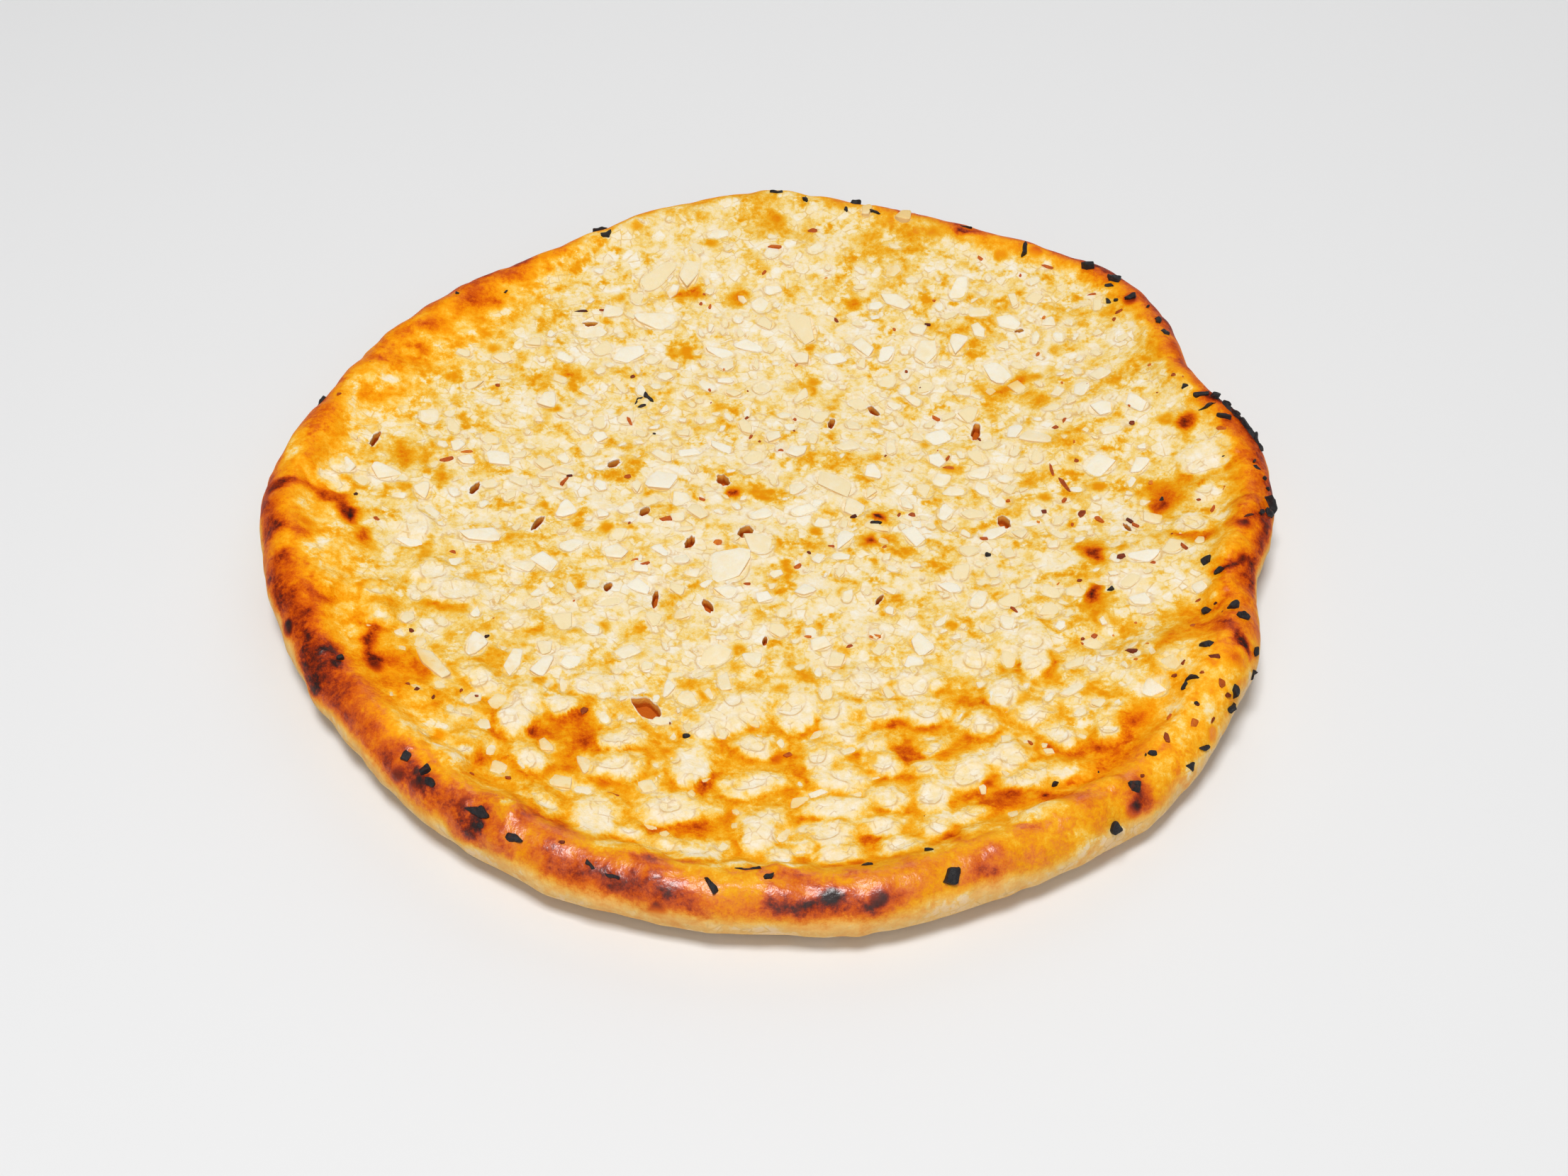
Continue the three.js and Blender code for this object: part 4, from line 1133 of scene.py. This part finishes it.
def makeGarlic():
    rng = np.random.default_rng(garlic["seed"] + 1)
    x, y = np.array([row[:2] for row in chips]).T
    burnt = bakeTop(np.column_stack([x, y, topHeight(x, y)]), insetAt(x, y))[0] > garlic["burns"]
    rows, tones = [], []
    for number, (x, y, length, width, turn) in enumerate(chips):
        isSlice = number < garlic["slicesShown"]
        if burnt[number] and not isSlice:
            continue
        kind, swell = "slice" if isSlice else "bit", garlic["swell"]
        thickness = garlic["thickness"] if length > garlic["smallUpTo"] else garlic["smallThickness"]
        proud = rng.uniform(*garlic[kind + "Proud"])
        rows.append((x, y, swell * length, swell * width, turn, thickness, proud))
        dulled = garlic["dulling"] * max(length - garlic["dullFrom"], 0)
        tones.append(rng.uniform(*garlic[kind + "Tone"]) - dulled)
    return layPieces("garlicBits", garlic, rows, tones)


# black char: (x, y, length, width, turn, how far it stands proud)
char = {
    "places": [
        # the right edge, from the back corner to the front
        (115, 34.2, 3.4, 2.4, 30, 1.7), (111.4, 34, 4.4, 1.1, 12, 0.7), (117.4, 31.6, 2.8, 1.5, -50, 1.4),
        (112.1, 30.2, 4.6, 0.9, 15, 0.5), (116.3, 26.6, 4.6, 1.6, -20, 1), (118.8, 29.4, 6, 1.3, -48, 1.2),
        (120.6, 27, 4, 1.1, -35, 0.9), (121.8, 25.2, 4.4, 1.5, -62, 1.3), (123, 23.2, 5.4, 1.4, -56, 1.1),
        (124.2, 21, 4.6, 1.8, -64, 1.4), (125, 18.8, 3.8, 1.2, -72, 1), (115.2, 14.7, 2.6, 1.4, -10, 0.9),
        (122, 11, 1.6, 1.1, 20, 0.9), (122.4, 8.8, 1.9, 1.4, -60, 0.9), (124, 5.8, 1.2, 0.9, -60, 1),
        (124.4, 2.6, 1.2, 1, 0, 1.1), (124.2, -3.2, 5.4, 2.6, -62, 2), (123.4, -6.6, 3.2, 2.4, 20, 1.5),
        (120.8, -8, 3, 1.7, 20, 0.9), (105.6, -23.6, 2.9, 2, 0, 1.2), (107.8, -28.4, 2.6, 1.4, 12, 0.9),
        (98, 3.4, 1.5, 1.3, 0, 0.8), (103.3, -39.4, 2.3, 2, 20, 1.1), (109.1, -41.7, 2.8, 2.5, 40, 1.4),
        (110.4, -45.3, 3.4, 2.4, -30, 1.3), (100.8, -54.5, 4, 2.1, -42, 1.1), (112.6, -54.6, 3, 2, 50, 1.4),
        (111.4, -59.4, 2.8, 1.4, 75, 1.1), (96, -64.1, 4.6, 1.2, -5, 0.8), (94.6, -65.8, 2.6, 1.1, 50, 0.7),
        (106, -66.8, 3.4, 1.9, 80, 1.4), (105.2, -69.8, 2.6, 1.7, 40, 1.2), (96.5, -71.8, 1.1, 0.9, 0, 0.6),
        (97.6, -80.4, 3, 1.6, 10, 1.2), (93.6, -85.8, 3.2, 1.8, -10, 1.1), (85, -85.3, 2, 1.3, 20, 0.8),
        (83.3, -85.8, 1, 0.8, 0, 0.6), (79.8, -94.4, 2.7, 2.1, 10, 1.4), (75, -103.2, 3.4, 2.7, 10, 1.4),
        (72.8, -87.4, 1.8, 0.9, 0, 0.6), (73.8, -91.8, 1.9, 0.8, -10, 0.6), (64, -89.5, 5, 1.1, 35, 0.6),
        # the front and the left
        (37.8, -118.8, 4.6, 3.7, 30, 1.4), (33.4, -111.3, 2, 1.1, 10, 0.7), (20, -114.5, 3, 1.6, 0, 0.9),
        (-13.5, -122, 4.4, 1.6, -55, 1.1), (-6, -117.6, 6, 1, 0, 0.7), (-1.5, -120.4, 2.2, 1.6, 0, 1.1),
        (-35, -118.8, 3.6, 1, -35, 0.8), (-40.2, -116.2, 3, 1.1, -50, 0.8), (-57, -109, 4.2, 2.3, -20, 1.2),
        (-64.8, -105, 2.4, 1.2, -20, 0.8), (-65.5, -102, 6.4, 2.6, -25, 1.2),
        (-77, -93.6, 3.6, 1.6, -40, 0.9), (-78.5, -90.5, 2.8, 2.4, -30, 1.1), (-83, -86.5, 2.4, 1.9, 60, 1),
        (-102, -56.4, 1.8, 1.5, 0, 0.7), (-120.8, 36.8, 3.4, 1.6, 50, 0.7), (-108.8, 49.9, 1.6, 1.1, 10, 0.7),
        (-89.2, 79.5, 1.1, 0.8, 0, 0.6), (-76, 82.8, 1.6, 1.4, 0, 0.7),
        # the back
        (-49.2, 106.8, 3.2, 2.4, 10, 1), (-51.5, 114, 4.6, 1.2, 10, 1.4), (-0.3, 125, 4, 1.3, 5, 0.9),
        (7.9, 122.1, 1.8, 2.5, 10, 0.8), (22.8, 122.8, 3.2, 1.1, 0, 1.5), (19.8, 118, 1.5, 2.3, 0, 0.8),
        (28.2, 116.5, 3.6, 0.7, -28, 0.5), (35.4, 120.6, 2, 0.7, 15, 0.8), (43.8, 118.4, 1.4, 0.8, 0, 0.9),
        (54.2, 110.4, 3.4, 0.9, -12, 0.5), (70.2, 99.7, 5, 1.7, 86, 1), (87.2, 91.6, 3.8, 1.8, -5, 2.4),
        (94.1, 85.7, 4.2, 2.6, -20, 1.4), (92.6, 83.4, 3, 1.1, -20, 0.6), (97.7, 77.4, 3.1, 1.7, -5, 1),
        (91.6, 78.2, 1.6, 2.1, 20, 0.8), (93.9, 78, 1.3, 1.1, 0, 0.7), (103.9, 66.2, 2.6, 2.4, 30, 1.1),
        (105, 61.2, 3, 1.6, -60, 1), (102, 72.8, 0.9, 0.8, 0, 0.6), (107.1, 37.3, 1.8, 1, 20, 0.8),
        # out in the middle
        (-37.8, 46.6, 4.6, 1.2, 52, 0.5), (-35, 47.6, 4.2, 1.2, -58, 0.5), (-36.8, 44.4, 2.6, 1, 8, 0.4),
        (-32.8, 33.4, 1, 0.8, 0, 0.5), (-20.6, -73, 2.4, 1.2, -10, 0.8), (82, -28, 1.7, 1.8, 20, 0.9),
        (25.5, -0.4, 3.8, 1.1, 0, 0.35), (53.5, -12, 1.8, 1.4, 0, 0.6),
    ],
    "sunk": 1,                  # how far a piece goes down into the crust
    "proudShare": 0.7,
    "seed": 17,
    "corners": (5, 4, 6, 5, 3, 4),
    "shapeSeed": 70,
    "uneven": 0.34,
    "crispness": 12,
    "cuts": 1,
    "lean": 0.28,
    "crumble": 0.5,
    "shadeAngle": 20,
}


def makeChar():
    rng = np.random.default_rng(char["seed"])
    rows = [(x, y, length, width, turn, proud + char["sunk"], char["proudShare"] * proud)
            for x, y, length, width, turn, proud in char["places"]]
    return layPieces("charredBits", char, rows, rng.random(len(rows)))


# toasted flakes: the ones that can be told apart, and a scatter: (x, y, length, width, turn, tone)
flakes = {
    "places": [
        (74.5, 12, 6, 1.3, -65, 0.5), (71.5, 17, 4.4, 0.9, -80, 0.45), (68.5, 2.7, 1.5, 1.3, 0, 0.7),
        (77.8, 0.8, 3.2, 2, 70, 0.6), (82, -1.5, 4, 1.6, -60, 0.3), (85.6, -17.7, 2.4, 1.7, 20, 0.7),
        (101.1, -16.3, 3.2, 1.1, -60, 0.5), (93.1, -20.6, 1.6, 1.2, 0, 0.4), (74.9, -23.9, 1.4, 1, 0, 0.6),
        (93.4, 30.2, 1.6, 1.4, 0, 0.7), (73.7, 32.3, 1.8, 1.4, 30, 0.5), (76.2, 34.5, 2, 1, 70, 0.4),
        (78.3, 20, 1.5, 1.5, 0, 0.5), (74, 6.5, 2, 1.2, 60, 0.4), (52.6, -6, 2.2, 1.4, 0, 0.4),
        (62.4, -37, 2, 0.9, 60, 0.3), (58.3, -32, 3, 1, -60, 0.5), (-15, -7, 2.4, 2, 0, 0.2),
        (-28.5, 1, 3.4, 1.6, 10, 0.35), (34.7, 3.4, 2, 1.7, 0, 0.5), (31.4, 3.4, 2, 0.9, 70, 0.5),
        (19.7, 2.6, 2, 1.4, 30, 0.85), (42.6, 40, 3, 1.2, -40, 0.3), (45, 20.6, 3.2, 1, -5, 0.3),
        (45, 24, 2, 0.9, 60, 0.4), (16.4, 78.5, 2.2, 1.1, -60, 0.6), (41.8, 74.8, 2, 1, -20, 0.8),
        (10.1, 111.4, 3.2, 1.9, 0, 0.45), (-0.9, 104.7, 4.2, 1.2, -10, 0.3), (-3.8, 95.3, 2, 0.9, 60, 0.4),
        (-86, 19.4, 4, 1.4, 25, 0.4), (-81.2, 22.5, 3.4, 0.9, 15, 0.15), (-55.4, 15, 4.4, 1.1, 60, 0.4),
        (-54.2, 16.8, 1.8, 0.9, 10, 0.8), (-67.7, -34, 5, 0.9, 55, 0.4), (-64.8, -33.2, 2, 0.8, -60, 0.4),
        (-70, -41.8, 1.5, 0.9, 30, 1), (84.4, -50.2, 3.4, 1.5, -20, 0.7), (2.7, -78.4, 2.2, 1.4, 30, 0.4),
        (28.7, -81, 1.8, 1.2, 70, 0.8), (-19, 83.2, 2, 0.9, 80, 0.3), (-8.2, 40.4, 1.6, 0.9, 60, 0.6),
        (-7, 33, 1.8, 0.8, 70, 0.45), (4.7, 40, 1.2, 1.2, 0, 0.4), (-39.5, 38.5, 3.4, 1, -65, 0.3),
        (-39, 16.6, 2, 1.6, 20, 0.4), (-19.4, 8.6, 2, 0.9, -20, 0.35), (1, 27.2, 1.6, 1, 0, 0.35),
        (5.2, -15.4, 2.8, 1.6, 50, 0.3), (-7.4, -22, 2, 0.9, 0, 0.4), (13.8, -8.5, 1.8, 0.8, 0, 0.4),
        (17.6, -43, 2, 1, 30, 0.5), (24, -39.5, 3, 1.2, 0, 0.15), (7.6, -39.8, 2, 0.8, 0, 0.2),
        (-33, -14.8, 2.6, 0.7, 20, 0.4), (-35.8, -13.3, 2.2, 0.7, 20, 0.25), (-101, -4.8, 1.7, 1.2, -30, 0.4),
        (-107.1, 2.7, 1.4, 1, 60, 0.95), (-113.3, 10.5, 1.8, 1.1, -40, 0.8),
        (-81.2, -13.8, 1.8, 1.1, 0, 0.35), (-78.2, -29, 1.8, 0.9, 20, 0.4),
        (-87.9, -42.5, 1.7, 1.2, -40, 0.7), (-84, -62.6, 1.5, 1.1, 60, 0.7), (-86.4, -60.8, 1.2, 0.9, 0, 0.5),
        (-80, -64.6, 1.6, 0.8, 80, 0.7), (-74, -61, 1.5, 0.8, 80, 0.5), (-70.3, -62.5, 1.1, 1, 0, 0.6),
        (-45, -66, 2.4, 1.8, 70, 0.6), (-60.6, -81.8, 1.6, 0.8, -40, 0.4), (-68.4, -89, 1.3, 1, 0, 0.4),
        (-60.4, -89, 1.5, 0.9, 0, 0.5), (-54.4, -91.6, 1.6, 1, -40, 0.5), (-37, -92.6, 4, 0.9, -15, 0.4),
        (-46.4, -111, 1.6, 0.9, 0, 0.7), (89.4, -3.1, 3, 1.2, -60, 0.8), (92.8, 71, 1.6, 1.1, 80, 0.5),
        (68.5, 91, 1.4, 0.8, 80, 0.4), (76.2, 93.4, 3.8, 1.1, -22, 0.35), (57.6, 98.8, 2.2, 1.1, -50, 0.3),
        (87.7, 81.9, 2.8, 0.9, 0, 0.35), (94.3, 73.5, 2.6, 1, 20, 0.5), (71.5, 62, 1.6, 0.9, 60, 0.25),
        (108.5, 6.4, 2.4, 0.9, -20, 0.6), (113.6, 3.7, 2.2, 0.8, 60, 0.3), (110.1, -2.8, 3, 1, 65, 0.4),
        (102.3, -34.6, 1.8, 0.8, 20, 0.5), (105.6, -37.8, 1.2, 1, 30, 0.9), (117.2, -10.4, 3.2, 0.9, 30, 0.9),
        (95.3, -58.3, 1.8, 1.4, 60, 0.6), (92.9, -61.1, 1.6, 1.1, 0, 0.6), (101.6, -59.6, 3, 1.5, -10, 0.75),
        (102.7, -66.4, 2.4, 1.8, -60, 0.45), (104.2, -68.4, 1.6, 1.2, 0, 0.7), (96.5, -72, 1.1, 0.8, 20, 0.8),
        (95.4, -76.6, 2.4, 1.8, 70, 0.3), (100, -74.6, 2.2, 0.7, 65, 0.6), (90.2, -73.1, 2.4, 0.8, 60, 0.3),
        (88.4, -81.1, 3, 1.4, -80, 0.6), (107.2, 1.2, 1.2, 0.8, 10, 0.6), (104.9, 41.9, 1.4, 1.2, 10, 0.5),
        (81.9, -91.3, 1.2, 0.9, 30, 0.6), (58, -102.1, 1.6, 0.9, 20, 0.6), (48.6, -86, 1.8, 0.9, 70, 0.4),
        (58.6, -76, 2.2, 0.8, -60, 0.4), (-115.5, 36.5, 1.4, 0.9, 20, 0.5), (-105.6, -32.5, 2, 0.9, -20, 0.4),
        (-75.5, 48.6, 1.4, 1, 0, 0.5), (-54.9, 78.9, 4, 0.8, 8, 0.9), (-49.3, 80.1, 1.6, 0.8, 10, 0.5),
        (115.2, 22.8, 3, 1.7, -25, 0.3), (90.6, -5.4, 2.6, 1.1, -45, 0.4), (98.4, -63.7, 1.2, 0.8, 0, 0.5),
    ],
    "seed": 23,
    "thickness": 0.8,
    "proud": (0.15, 0.4),
    "tries": 130,               # the scatter: how many are thrown, how far out, and what share of them stays
    "outTo": 116,
    "middleShare": 0.45,
    "rightMore": 0.55,
    "lengths": (0.6, 1.7),
    "widths": (0.4, 0.9),
    "scatterThickness": 0.7,
    "scatterProud": (0.1, 0.3),
    "scatterTone": (0, 0.75),
    "corners": (4, 5, 4, 3),
    "shapeSeed": 60,
    "uneven": 0.3,
    "crispness": 12,
    "cuts": 0,
    "lean": 0.15,
    "crumble": 0,
    "shadeAngle": 30,
}


def makeFlakes():
    rng = np.random.default_rng(flakes["seed"])
    rows, tones = [], []
    for x, y, length, width, turn, tone in flakes["places"]:
        rows.append((x, y, length, width, turn, flakes["thickness"], rng.uniform(*flakes["proud"])))
        tones.append(tone)
    for attempt in range(flakes["tries"]):
        radius, angle = flakes["outTo"] * math.sqrt(rng.random()), 2 * math.pi * rng.random()
        x, y = radius * math.cos(angle), radius * math.sin(angle)
        length = rng.uniform(*flakes["lengths"])
        if rng.random() < flakes["middleShare"] + flakes["rightMore"] * x / flakes["outTo"]:
            rows.append((x, y, length, length * rng.uniform(*flakes["widths"]), 360 * rng.random(),
                         flakes["scatterThickness"], rng.uniform(*flakes["scatterProud"])))
            tones.append(rng.uniform(*flakes["scatterTone"]))
    return layPieces("toastedFlakes", flakes, rows, tones)


def finishPiece(piece, rule, material):
    pick(piece)
    bpy.ops.object.shade_smooth_by_angle(angle=math.radians(rule["shadeAngle"]))
    piece.data.materials.clear()
    piece.data.materials.append(material)


loaf = makeBread()
cutHoles(loaf)
finishPiece(loaf, bread, crustPaint())
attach(loaf, "root")
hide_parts("naan")

for piece, rule, material, slot in (
    (makeGarlic(), garlic, garlicPaint(), "garlic"),
    (makeChar(), char, charPaint(), "char"),
    (makeFlakes(), flakes, flakePaint(), "char"),
):
    finishPiece(piece, rule, material)
    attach(piece, "root")
print("toppings laid and painted")

stage = {
    "floor": (233, 233, 233),
    "floorSize": 8,             # places and sizes in m here
    "floorRoughness": 0.7,
    "worldStrength": 0.22,
    "worldColour": (0.985, 0.99, 1.0),
    "lights": [                 # (name, place, power, size)
        ("keyLight", (-0.1, -0.34, 1.46), 15.5, 0.4),
        ("frontLight", (0.2, -1.25, 0.55), 7.5, 2.4),
        ("backLight", (0.3, 1.2, 0.8), 3, 1.0),
    ],
}

deselectAll()
bpy.ops.mesh.primitive_plane_add(size=stage["floorSize"])
floor = bpy.context.object
floor.name = "floor"
floorPaint = Paint("paleFloor")
floorPaint.set(Base_Color=paint(*stage["floor"]), Roughness=stage["floorRoughness"])
floor.data.materials.append(floorPaint.material)

for name, place, power, size in stage["lights"]:
    bpy.ops.object.light_add(type="AREA", location=place)
    light = bpy.context.object
    light.name = name
    light.data.energy = power
    light.data.size = size
    light.rotation_euler = (-Vector(place)).to_track_quat("-Z", "Y").to_euler()
scene = bpy.context.scene
scene.world = scene.world or bpy.data.worlds.new("studio")
scene.world.use_nodes = True
background = scene.world.node_tree.nodes["Background"].inputs
background["Color"].default_value = (*stage["worldColour"], 1)
background["Strength"].default_value = stage["worldStrength"]
scene.view_settings.view_transform = "Standard"

view = {
    "aim": (1.84, -24.16, 7),
    "distance": 539.9,
    "elevation": 45.9,
    "lens": 50,
    "sensor": 36,
    "nearest": 0.01,
}
lean = math.radians(view["elevation"])
spot = np.array(view["aim"]) + view["distance"] * np.array([0, -math.cos(lean), math.sin(lean)])
bpy.ops.object.camera_add(location=toFrame(spot), rotation=(math.radians(90 - view["elevation"]), 0, 0))
camera = bpy.context.object
camera.data.lens = view["lens"]
camera.data.sensor_width = view["sensor"]
camera.data.sensor_fit = "HORIZONTAL"
camera.data.clip_start = view["nearest"]
scene.camera = camera
print("stage, light and camera set")
